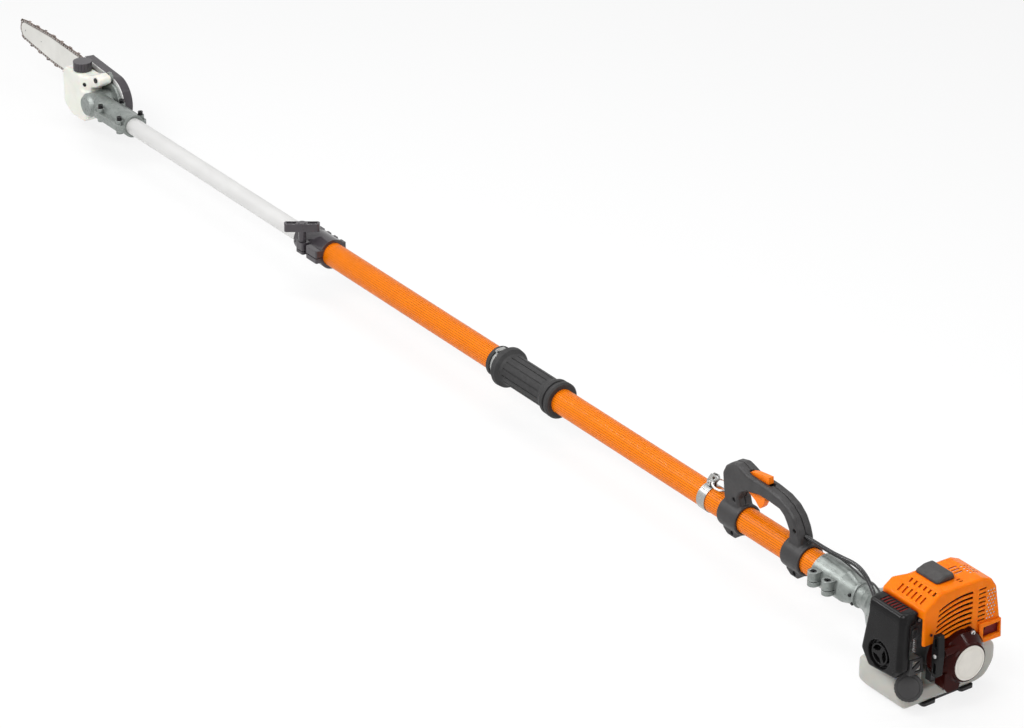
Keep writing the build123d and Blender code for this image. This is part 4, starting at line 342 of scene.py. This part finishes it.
def at_axis(x, y, z):
    """A point given in mm, with z from the pole axis."""
    return Vector((x * MM, y * MM, z * MM + AXIS_H))


def in_mm(rings):
    """Rings of a turned solid whose heights and radii are given in mm."""
    return [(height * MM, radius * MM) for height, radius in rings]


def new_mesh(name, points, faces):
    """A mesh of points and faces."""
    mesh = bpy.data.meshes.new(name)
    mesh.from_pydata(points, [], faces)
    return mesh


def form(mesh):
    """Points and faces of a mesh."""
    return [v.co.copy() for v in mesh.vertices], [tuple(p.vertices) for p in mesh.polygons]


def mesh_piece(name, points, faces, slot, body, smooth=True, finish=None):
    """A mesh piece with its slot's finish or its own. It rides on a body if one is given."""
    mesh = new_mesh(name, points, faces)
    mesh.validate()
    for polygon in mesh.polygons:
        polygon.use_smooth = smooth
    mesh.set_sharp_from_angle(angle=SHARP)
    mesh.materials.append(finish or finishes[slot])
    piece = linked(name, mesh)
    if body:
        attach(piece, body)
    return piece


def joined(parts):
    """Several (points, faces) as one."""
    points, faces = [], []
    for some_points, some_faces in parts:
        start = len(points)
        points += list(some_points)
        faces += [tuple(i + start for i in face) for face in some_faces]
    return points, faces


def loft_faces(rings, sides):
    """Faces between rings of points that follow each other, and one face over each end."""
    faces = []
    for k in range(rings - 1):
        for i in range(sides):
            j = (i + 1) % sides
            faces.append((k * sides + i, k * sides + j, (k + 1) * sides + j, (k + 1) * sides + i))
    faces.append(tuple(reversed(range(sides))))
    faces.append(tuple(range((rings - 1) * sides, rings * sides)))
    return faces


def turned(rings, at, axis, segments=36):
    """Points and faces of a turned solid.

    A ring is (height, radius), or (height, radius, sides) for a polygon.
    """
    at, axis = Vector(at), Vector(axis).normalized()
    first = axis.orthogonal().normalized()
    second = axis.cross(first)
    points = []
    for height, radius, *sides in rings:
        for i in range(segments):
            turn = 2 * pi * i / segments
            reach = radius
            if sides:
                wedge = 2 * pi / sides[0]
                reach = radius * cos(wedge / 2) / cos(turn % wedge - wedge / 2)
            points.append(at + axis * height + (first * cos(turn) + second * sin(turn)) * reach)
    return points, loft_faces(len(rings), segments)


def swept(path, radii, segments):
    """Points and faces of a round tube along a path, with one radius for each point."""
    path = [Vector(p) for p in path]
    points = []
    side = None
    for k, here in enumerate(path):
        ahead = (path[min(k + 1, len(path) - 1)] - path[max(k - 1, 0)]).normalized()
        side = ahead.orthogonal() if side is None else side - ahead * side.dot(ahead)
        side.normalize()
        other = ahead.cross(side)
        for i in range(segments):
            turn = 2 * pi * i / segments
            points.append(here + (side * cos(turn) + other * sin(turn)) * radii[k])
    return points, loft_faces(len(path), segments)


def prism(outline, low, high, along="x"):
    """A closed prism between two heights along an axis, all in mm with z from the pole axis.

    The outline has (y, z) points for a prism along x, (x, z) points along y, and (x, y) points along z.
    """
    points = []
    for reach in (low, high):
        for p, q in outline:
            points.append(at_axis(*{"x": (reach, p, q), "y": (p, reach, q), "z": (p, q, reach)}[along]))
    return points, loft_faces(2, len(outline))


# ================================================================= soft mouldings
PULL = 0.5                # how far a point moves to the middle of its neighbours in one pass
KEPT_FACES = 0.4          # share of the faces that the thinning leaves


def applied(carrier):
    """The mesh that an object's modifiers make of it. The object itself is removed."""
    made = bpy.data.meshes.new_from_object(carrier.evaluated_get(bpy.context.evaluated_depsgraph_get()))
    bpy.data.objects.remove(carrier)
    return made


def smooth_points(mesh, passes, hold):
    """Smooths a mesh in place. A point moves freely where hold(points) is 1 and less where it is below."""
    spots = np.empty(len(mesh.vertices) * 3)
    mesh.vertices.foreach_get("co", spots)
    spots = spots.reshape(-1, 3)
    ends = np.empty(len(mesh.edges) * 2, dtype=np.int64)
    mesh.edges.foreach_get("vertices", ends)
    ends = ends.reshape(-1, 2)
    near = np.concatenate([ends[:, 0], ends[:, 1]])
    far = np.concatenate([ends[:, 1], ends[:, 0]])
    count = np.bincount(near, minlength=len(spots))[:, None]
    give = PULL if hold is None else PULL * hold(spots)[:, None]
    for _ in range(passes):
        around = np.stack([np.bincount(near, spots[far, k], len(spots)) for k in range(3)], axis=1) / count
        spots = spots + give * (around - spots)
    mesh.vertices.foreach_set("co", spots.ravel())


def moulded(node, voxel, passes, more=(), hold=None, body="machine", cuts=()):
    """Replaces a CAD node by its own form with the round edges of a moulding.

    The closed shapes in more are joined on before the smoothing, and those in cuts are taken out after it.
    """
    source = nodes[node]
    slot = slot_name(source.material_slots[0])
    rough = new_mesh(node + "_rough", *joined([form(source.data), *more]))
    carrier = linked(node + "_rough", rough)
    remesh = carrier.modifiers.new("remesh", "REMESH")
    remesh.mode = "VOXEL"
    remesh.voxel_size = voxel
    fine = applied(carrier)
    smooth_points(fine, passes, hold)
    carrier = linked(node + "_fine", fine)
    thin = carrier.modifiers.new("thin", "DECIMATE")
    thin.ratio = KEPT_FACES
    if cuts:
        cutter = linked(node + "_blade", new_mesh(node + "_blade", *joined(cuts)))
        slots = carrier.modifiers.new("slots", "BOOLEAN")
        slots.operation = "DIFFERENCE"
        slots.object = cutter
    piece = mesh_piece(node + "_moulding", *form(applied(carrier)), slot, body)
    if cuts:
        bpy.data.objects.remove(cutter)
        piece.data.set_sharp_from_angle(angle=CREASE)
    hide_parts(node)


KNOB_X = -2 * MM          # of the filter cover
KNOB_Z = AXIS_H + 10 * MM
RECESS_R = 27 * MM        # recess round the knob
RECESS_RIM = 2 * MM       # held like the recess
RECESS_FADE = 5 * MM      # from held to free
RECESS_GIVE = 0.12
SLOTS_LOW_Z = AXIS_H + 101 * MM
SLOTS_OUT_Y = 101 * MM
SLOTS_GIVE = 0.2


def keep_recess(points):
    """How far a point of the filter cover may be smoothed: little round the knob and the slots."""
    reach = np.hypot(points[:, 0] - KNOB_X, points[:, 2] - KNOB_Z)
    free = np.clip((reach - RECESS_R - RECESS_RIM) / RECESS_FADE, RECESS_GIVE, 1)
    return np.where((points[:, 2] > SLOTS_LOW_Z) & (points[:, 1] < SLOTS_OUT_Y), SLOTS_GIVE, free)


moulded("fuel_tank", voxel=1.5 * MM, passes=34)

# the filter cover gets a rounder shoulder, a fill inside its thin walls, and slots with foam behind them, in
# a red of painted shade
SHOULDER = ((84.5, 107.4), (100.8, 107.4), (109.5, 106.6), (114.5, 103.6), (117.2, 98.6), (118, 92),
            (118, 82), (84.5, 82))
SHOULDER_ENDS = ((84.5, 106.8), (100.8, 106.8), (108, 105.6), (112.4, 102), (114, 96), (114, 82), (84.5, 82))
FILTER_LINING = ((-53.5, 92), (28, 92), (45.4, 2), (24.8, -24.2), (-36.4, -19.4), (-51.6, -3))
FILTER_EDGES = (((-51, 90), (-32, 90), (-32, -17.5), (-36, -17.5), (-49.2, -3)),
                ((-50, 91), (26.5, 91), (33, 42), (-50, 42)),
                ((28.5, 42), (35.5, 42), (43, 2), (28.5, -16)),
                ((-34, -17.5), (24, -22), (28.5, -17), (-30, -17.6)))
SLOT_COUNT = 7
SLOT_PITCH = 8
SLOT_X = (-38.7, -33.3)   # of the rearmost slot
SLOT_Y = (87.5, 107)
SLOT_Z = (100, 112)
FOAM = ((86.5, 105.6), (100.8, 105.6), (108, 104.9), (108, 98), (86.5, 98))

filter_fill = [prism(SHOULDER, -50, 28), prism(SHOULDER_ENDS, -54, 32)]
filter_fill += [prism(FILTER_LINING, 103, 108.6, along="y")]
filter_fill += [prism(edge, 107, 116.2, along="y") for edge in FILTER_EDGES]
filter_slots = []
for i in range(SLOT_COUNT):
    rear, front = (x + SLOT_PITCH * i for x in SLOT_X)
    inner, outer = SLOT_Y
    outline = ((rear, inner), (front, inner), (front, outer), (rear, outer))
    filter_slots.append(prism(outline, *SLOT_Z, along="z"))
moulded("filter_cover", voxel=0.8 * MM, passes=22, more=filter_fill, hold=keep_recess, cuts=filter_slots)
# foam in a red of painted shade
mesh_piece("filter_foam", *prism(FOAM, -42, 18), "orange_plastic", "machine", smooth=False, finish=SHADED_RED)

OIL_STEP = ((2906.2, 11.7), (2906.2, -6), (2876.5, -6), (2876.5, 0.2))
moulded("oil_tank", voxel=1.1 * MM, passes=30, more=[prism(OIL_STEP, 14, 49.5, along="z")], body="boom")
moulded("plug_cover", voxel=0.7 * MM, passes=14)
moulded("handle_left", voxel=1.0 * MM, passes=12)
moulded("handle_right", voxel=1.0 * MM, passes=12)


# ================================================================= control cables
CABLE_R = 4.15 * MM
WIRE_R = 1.95 * MM
CABLE_ROUTE = ((350, 0, 42), (280, 0, 42), (236, 3, 48), (180, 17, 65), (136, 32, 68), (96, 48, 58),
               (66, 60, 32), (40, 66, 30), (22, 66, 36))
WIRE_ROUTE = ((350, -8, 37), (276, -8, 37), (220, -5, 36), (188, 0, 33), (160, 8, 38), (128, 22, 55),
              (92, 36, 56), (58, 50, 42), (40, 52, 30))
CURVE_STEPS = 16
CURVE_ORDER = 3
CURVE_BEVEL = 5
RIB_PITCH = 2.6 * MM      # rings of the corrugated conduit
RIB_DEPTH = 0.55 * MM
RIB_WAVE = (0, 0.5, 1, 0.5)
WIRE_STEP = 3 * MM


def cord_curve(name, route, radius):
    """Smooth open curve over a route's points, which are in mm from the pole axis."""
    curve = bpy.data.curves.new(name, "CURVE")
    curve.dimensions = "3D"
    curve.resolution_u = CURVE_STEPS
    line = curve.splines.new("NURBS")
    line.points.add(len(route) - 1)
    for point, (x, y, z) in zip(line.points, route):
        point.co = (x * MM, y * MM, z * MM + AXIS_H, 1)
    line.order_u = CURVE_ORDER
    line.use_endpoint_u = True
    curve.bevel_depth = radius
    curve.bevel_resolution = CURVE_BEVEL
    curve.use_fill_caps = True
    return bpy.data.objects.new(name, curve)


def distances(line):
    """How far along a line each of its points is."""
    return np.concatenate([[0], np.cumsum(np.linalg.norm(np.diff(line, axis=0), axis=1))])


def points_at(line, at):
    """Points of a line at distances along it."""
    along = distances(line)
    return np.stack([np.interp(at, along, line[:, k]) for k in range(line.shape[1])], axis=1)


def centre_line(route, step):
    """Evenly spaced points along a route's smooth curve, and its length."""
    bare = cord_curve("bare", route, 0)
    mesh = bpy.data.meshes.new_from_object(bare)
    line = np.array([v.co for v in mesh.vertices])
    bpy.data.meshes.remove(mesh)
    bpy.data.curves.remove(bare.data)
    length = distances(line)[-1]
    at = np.linspace(0, length, round(length / step) + 1)
    return [Vector(p) for p in points_at(line, at)], float(length)


conduit_line, conduit_length = centre_line(CABLE_ROUTE, RIB_PITCH / len(RIB_WAVE))
conduit_radii = [CABLE_R - RIB_DEPTH * RIB_WAVE[i % len(RIB_WAVE)] for i in range(len(conduit_line))]
conduit_form = swept(conduit_line, conduit_radii, segments=20)
conduit = mesh_piece("throttle_conduit", *conduit_form, "cable_black", "machine")
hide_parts("throttle_cable")

wire_line, wire_length = centre_line(WIRE_ROUTE, WIRE_STEP)
wire = cord_curve("stop_lead", WIRE_ROUTE, WIRE_R)
bpy.context.scene.collection.objects.link(wire)
wire.data.materials.append(finishes["cable_black"])
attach(wire, "machine")
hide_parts("stop_wire")


# ================================================================= saw head
BAR_TILT = radians(2.6)
HEAD_X = 2848 * MM        # middle of the drive sprocket
BAR_MID = -40.2 * MM      # y of the bar's middle plane
BAR_RISE = 17 * MM        # middle of the bar above the sprocket
BAR_HALF = 28 * MM
BAR_FACE = 1.6 * MM
PITCH = 9.525 * MM        # between rivets of the chain
SPROCKET_R = 18.4 * MM    # to the rivets
TAIL_U = 140 * MM         # where the chain meets the bar
TAPER_U = 281 * MM        # where the bar begins to narrow
NOSE_U = 401 * MM         # middle of the nose
NOSE_R = 19 * MM
ARC_STEPS = 24
CHAIN_HALF = 1.85 * MM    # middle of the chain to the outside of a strap
RIVET_RISE = 3.4 * MM     # above the bar's edge
RIVET_R = 1.7 * MM
RIVET_OUT = 0.45 * MM
RIVET_SUNK = 0.1 * MM
RIVET_TOP = 0.75          # radius at the top of a rivet's head, as a share of the whole
HEAD_EDGE = 0.6           # height at which a head's edge begins to narrow, as a share of the whole


def on_bar(u, v, side):
    """Point u along the bar and v above the sprocket, side from the bar's middle plane."""
    return Vector((HEAD_X + u * cos(BAR_TILT) - v * sin(BAR_TILT), BAR_MID + side,
                   AXIS_H + u * sin(BAR_TILT) + v * cos(BAR_TILT)))


def arc(u, v, radius, start, sweep, steps):
    """Points (u, v) on the bar's plane at even steps round an arc."""
    turns = [start + sweep * i / steps for i in range(steps + 1)]
    return [(u + radius * cos(turn), v + radius * sin(turn)) for turn in turns]


def rivet_places():
    """Rivets at an even pitch round the drive sprocket, the rails and the nose."""
    run = NOSE_U - TAPER_U
    lean = np.arctan2(BAR_HALF, run) - np.arcsin(NOSE_R / sqrt(BAR_HALF ** 2 + run ** 2))
    high = BAR_RISE + BAR_HALF + RIVET_RISE
    low = BAR_RISE - BAR_HALF - RIVET_RISE
    loop = arc(0, 0, SPROCKET_R, pi / 2, pi, ARC_STEPS)
    loop += [(TAIL_U, low), (TAPER_U, low)]
    loop += arc(NOSE_U, BAR_RISE, NOSE_R + RIVET_RISE, -pi / 2 + lean, pi - 2 * lean, ARC_STEPS)
    loop += [(TAPER_U, high), (TAIL_U, high), loop[0]]
    loop = np.array(loop)
    length = distances(loop)[-1]
    count = 2 * round(length / PITCH / 2)
    return points_at(loop, length * np.arange(count) / count)


rivet_head = [(0, RIVET_R), (RIVET_OUT * HEAD_EDGE, RIVET_R), (RIVET_OUT, RIVET_R * RIVET_TOP)]
rivets = []
for u, v in rivet_places():
    for side in (1, -1):
        foot = on_bar(u, v, side * (CHAIN_HALF - RIVET_SUNK))
        rivets.append(turned(rivet_head, foot, (0, side, 0), segments=12))
mesh_piece("chain_rivets", *joined(rivets), "screw_zinc", "boom")

# low domes on the camera side of the guide bar: one over its hole and four round the nose
DOME_R = 2.3 * MM
DOME_OUT = 0.35 * MM
DOME_SUNK = 0.2 * MM
DOME_TOP = 0.7
DOMES = ((327 * MM, BAR_RISE), (NOSE_U, BAR_RISE), (NOSE_U + 8 * MM, BAR_RISE),
         (NOSE_U - 4 * MM, BAR_RISE + 7 * MM), (NOSE_U - 4 * MM, BAR_RISE - 7 * MM))
dome = [(-DOME_SUNK, DOME_R), (DOME_OUT * HEAD_EDGE, DOME_R), (DOME_OUT, DOME_R * DOME_TOP)]
domes = [turned(dome, on_bar(u, v, BAR_FACE), (0, 1, 0), segments=16) for u, v in DOMES]
mesh_piece("nose_rivets", *joined(domes), "dark_alloy", "boom")

# bright rim of the gearhead along the chain cover
RIM_STEPS = 18
COVER_R = 52.6 * MM
RIM_WIDE = 10.5 * MM
RIM_BACK = -0.35 * MM
RIM_FRONT = 2.0 * MM
rim_out = [(122 * MM, 56.6 * MM), (60 * MM, 54.6 * MM), *arc(0, 0, COVER_R, pi / 2, pi, RIM_STEPS)]
rim_in = [(122 * MM, 50.5 * MM), (60 * MM, 42.5 * MM), *arc(0, 0, COVER_R - RIM_WIDE, pi / 2, pi, RIM_STEPS)]
rim_points = []
for outer, inner in zip(rim_out, rim_in):
    rim_points += [on_bar(*outer, RIM_BACK), on_bar(*outer, RIM_FRONT)]
    rim_points += [on_bar(*inner, RIM_FRONT), on_bar(*inner, RIM_BACK)]
mesh_piece("cover_rim", rim_points, loft_faces(len(rim_out), 4), "tube_silver", "boom")


# ================================================================= engine openings
# bright sheet guard let into the inside of the shroud behind its round holes
GUARD_REAR = ((-55.5, 49), (-85.5, 49), (-75.2, 108.5), (-55.5, 108.5))
GUARD_TOP = ((-38.5, 134.1), (-47.2, 134.0), (-64, 127.2), (-64, 126.2), (-47.2, 133.0), (-38.5, 133.1))
guards = [prism(GUARD_REAR, -69.0, -67.8), prism(GUARD_TOP, -47, -13)]
mesh_piece("muffler_guard", *joined(guards), "bush_white", "machine", smooth=False)

# orange lining behind the slots of the step, and a plate in the exhaust mouth whose dark red is painted shade
STEP_LINING = ((77, 112.7), (63, 121.4), (46, 132.7), (45.4, 131.8), (62.4, 120.4), (76.4, 111.8))
EXHAUST_SHADE_PLATE = ((-88, 17), (-55, 17), (-62, 41), (-88, 41))
mesh_piece("step_lining", *prism(STEP_LINING, -56, 10), "orange_plastic", "machine", smooth=False)
mesh_piece("deflector", *prism(EXHAUST_SHADE_PLATE, -67.4, -66.4), "orange_plastic", "machine", smooth=False,
           finish=SHADED_RED)


# ================================================================= small parts
# piece, slot, body, and for each screw its place in mm from the pole axis, the way it faces, and the radius
# and height of its head in mm
SCREWS = (
    ("engine_screws", "screw_zinc", "machine",
     (((-80, -19, 44), (-1, 0, 0), 4.6, 3.4), ((-40, 88, 76), (-1, 0, 0), 2.6, 2.2),
      ((-40, 66, 78), (-1, 0, 0), 2.6, 2.2))),
    ("cover_screws", "screw_black", "machine",
     (((186.5, 23, 3), (0, 0.99, 0.12), 3.1, 3.2), ((180.5, 22, -11), (0, 0.9, -0.43), 3.1, 3.2),
      ((-72, 66, 64), (-1, 0, 0), 2.4, 1.4))),
    ("oil_tank_screws", "screw_black", "boom",
     (((2892, 6.4, 31), (-0.38, 0.92, 0), 4.6, 1.6), ((2849, -0.2, 54), (0, 1, 0), 4.0, 1.6))),
)
SCREW_RIM = 0.12          # chamfer, as a share of the head's radius
SCREW_KEY = 0.52          # recess for the key, as a share of the radius
KEY_SIDES = 6
KEY_FLOOR = 0.45          # height of the recess's floor, as a share of the head's
KEY_MIDDLE = 0.40         # the same in the middle, over half the recess


def socket_screw(at, axis, radius, height):
    """Head of a screw that stands on a point: a chamfered rim and a recess for the key."""
    rim = radius * SCREW_RIM
    key = radius * SCREW_KEY
    rings = [(0, radius), (height - rim, radius), (height, radius - rim), (height, key, KEY_SIDES),
             (height * KEY_FLOOR, key, KEY_SIDES), (height * KEY_MIDDLE, key * 0.5)]
    return turned(rings, at, axis)


for name, slot, body, heads in SCREWS:
    screws = []
    for spot, facing, radius, height in heads:
        screws.append(socket_screw(at_axis(*spot), facing, radius * MM, height * MM))
    mesh_piece(name, *joined(screws), slot, body)

# ferrule where the rope comes through the starter grip
FERRULE = ((0, 3.6), (0.8, 4.0), (2.0, 3.7), (2.8, 2.6), (2.8, 1.6), (1.4, 1.4))
ferrule = turned(in_mm(FERRULE), at_axis(-86, 66.9, 30), (0, 1, 0), segments=20)
mesh_piece("rope_knot", *ferrule, "screw_zinc", "pull_grip")

# three-strand starter rope, over the span of the CAD rope's box
ROPE_R = 1.6 * MM
ROPE_STEPS = 40
ROPE_SIDES = 18
ROPE_TWIST = 0.45         # how far the wave of the strands turns in one step, in radians
STRANDS = 3
STRAND_DEPTH = 0.12       # of the grooves between strands, as a share of the radius
ROPE_IN, ROPE_OUT = (Vector(corner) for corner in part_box("starter_rope"))
rope_mid = (ROPE_IN + ROPE_OUT) / 2
rope_points = []
for i in range(ROPE_STEPS + 1):
    along = ROPE_IN.y + (ROPE_OUT.y - ROPE_IN.y) * i / ROPE_STEPS
    for k in range(ROPE_SIDES):
        turn = 2 * pi * k / ROPE_SIDES
        reach = ROPE_R * (1 - STRAND_DEPTH + STRAND_DEPTH * cos(STRANDS * turn - ROPE_TWIST * i))
        rope_points.append((rope_mid.x + reach * sin(turn), along, rope_mid.z + reach * cos(turn)))
rope = mesh_piece("pull_rope", rope_points, loft_faces(ROPE_STEPS + 1, ROPE_SIDES), "rope", None)
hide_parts("starter_rope")
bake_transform(rope)

# outside of the carburettor: pump cover, and the throttle lever with its spring
PUMP = ((0, 12.5), (2.2, 12.5), (3.0, 11.6), (3.0, 8.2), (5.6, 7.6), (6.2, 6.8), (6.2, 4.6), (5.0, 4.2))
LEVER = ((0, 6.0), (1.6, 6.0), (1.6, 2.4), (4.4, 2.4), (4.8, 1.8))
covers = [turned(in_mm(PUMP), at_axis(-40, 77, 60), (-1, 0, 0), segments=28),
          turned(in_mm(LEVER), at_axis(-38, 60, 83), (0, 0, 1), segments=20)]
mesh_piece("carburettor_covers", *joined(covers), "dark_alloy", "machine")

SPRING_TURNS = 7
SPRING_STEPS = 14         # in one turn
SPRING_R = 3.6            # in mm, like the middle of its top turn and its length
SPRING_TOP = (-46, 80, 50)
SPRING_LENGTH = 26
SPRING_WIRE = 0.7 * MM
coil = []
for i in range(SPRING_TURNS * SPRING_STEPS + 1):
    turn = 2 * pi * i / SPRING_STEPS
    x, y, z = SPRING_TOP
    drop = SPRING_LENGTH * i / (SPRING_TURNS * SPRING_STEPS)
    coil.append(at_axis(x + SPRING_R * cos(turn), y + SPRING_R * sin(turn), z - drop))
spring = swept(coil, [SPRING_WIRE] * len(coil), segments=8)
mesh_piece("throttle_spring", *spring, "shaft_steel", "machine")


# ================================================================= studio
WHITE = (1, 1, 1)
FLOOR_WHITE = (0.93, 0.93, 0.93)
FLOOR_HALF = 30.0
FLAT_SHARE = 0.80         # how much of the floor the camera sees as flat white, for a soft shadow


def sees_white(tree):
    """1 for rays of the camera, mirrors and glass, to which the studio looks white, and 0 for others."""
    rays = put(tree, "LightPath")
    seen = maths(tree, "MAXIMUM", rays.outputs["Is Camera Ray"], rays.outputs["Is Glossy Ray"])
    return maths(tree, "MAXIMUM", seen, rays.outputs["Is Transmission Ray"])


floor_corners = [(x * FLOOR_HALF, y * FLOOR_HALF, 0) for x, y in ((-1, -1), (1, -1), (1, 1), (-1, 1))]
floor = linked("floor", new_mesh("floor", floor_corners, [(0, 1, 2, 3)]))
floor_finish = bpy.data.materials.new("floor")
floor_finish.use_nodes = True
floor_tree = floor_finish.node_tree
floor_tree.nodes.clear()
matt = put(floor_tree, "BsdfDiffuse", {"Color": rgb(FLOOR_WHITE)})
flat = maths(floor_tree, "MULTIPLY", sees_white(floor_tree), FLAT_SHARE)
glow = put(floor_tree, "Emission", {"Color": rgb(WHITE), "Strength": 1.0})
shown = put(floor_tree, "MixShader", {0: flat, 1: matt.outputs["BSDF"], 2: glow.outputs["Emission"]})
put(floor_tree, "OutputMaterial", {"Surface": shown.outputs["Shader"]})
floor.data.materials.append(floor_finish)

MIDDLE = (1.3, 0, 0.1)    # what lamps point at
ENGINE = (0, 0, 0.14)
# name, place, what it points at, width and depth, watts; the last four draw the edges of the glossy covers
LAMPS = (
    ("key", (-0.4, 2.6, 3.0), (1.0, 0, 0.1), (3.2, 1.6), 78),
    ("top", (1.6, -0.4, 3.2), MIDDLE, (4.5, 0.8), 52),
    ("head", (2.7, 2.0, 2.4), (2.7, 0, 0.1), (1.6, 1.0), 26),
    ("rear", (-2.4, -0.8, 1.2), ENGINE, (1.4, 1.0), 9),
    ("edge_rear", (-0.74, -0.72, 1.31), ENGINE, (0.25, 0.08), 2.2),
    ("edge_left", (0.93, 0.85, 1.10), ENGINE, (0.30, 0.08), 2.6),
    ("edge_head", (2.55, 0.75, 1.70), (2.85, 0, 0.12), (0.30, 0.10), 2.4),
    ("edge_top", (-0.36, 0.73, 1.60), ENGINE, (0.30, 0.10), 2.8),
)
for name, at, aim, size, watts in LAMPS:
    lamp = bpy.data.lights.new(name, "AREA")
    lamp.shape = "RECTANGLE"
    lamp.size, lamp.size_y = size
    lamp.energy = watts
    light = linked(name, lamp)
    light.location = at
    light.rotation_euler = (Vector(aim) - Vector(at)).to_track_quat("-Z", "Y").to_euler()

ROOM = (0.98, 0.99, 1.0)
ROOM_SPAN = (-0.2, 0.8)   # rise of a direction over which the room's light grows
ROOM_LOW = 0.18
ROOM_HIGH = 0.36
world = bpy.data.worlds.new("studio")
bpy.context.scene.world = world
world.use_nodes = True
world_tree = world.node_tree
world_tree.nodes.clear()
sky = put(world_tree, "SeparateXYZ", {"Vector": put(world_tree, "TexCoord").outputs["Generated"]})
strength = spread(world_tree, sky.outputs["Z"], ROOM_SPAN, ROOM_LOW, ROOM_HIGH)
room = put(world_tree, "Background", {"Color": rgb(ROOM), "Strength": strength})
white = put(world_tree, "Background", {"Color": rgb(WHITE), "Strength": 1.0})
backdrop = put(world_tree, "MixShader", {0: sees_white(world_tree), 1: room.outputs["Background"],
                                         2: white.outputs["Background"]})
put(world_tree, "OutputWorld", {"Surface": backdrop.outputs["Shader"]})

bpy.context.scene.view_settings.view_transform = "Standard"
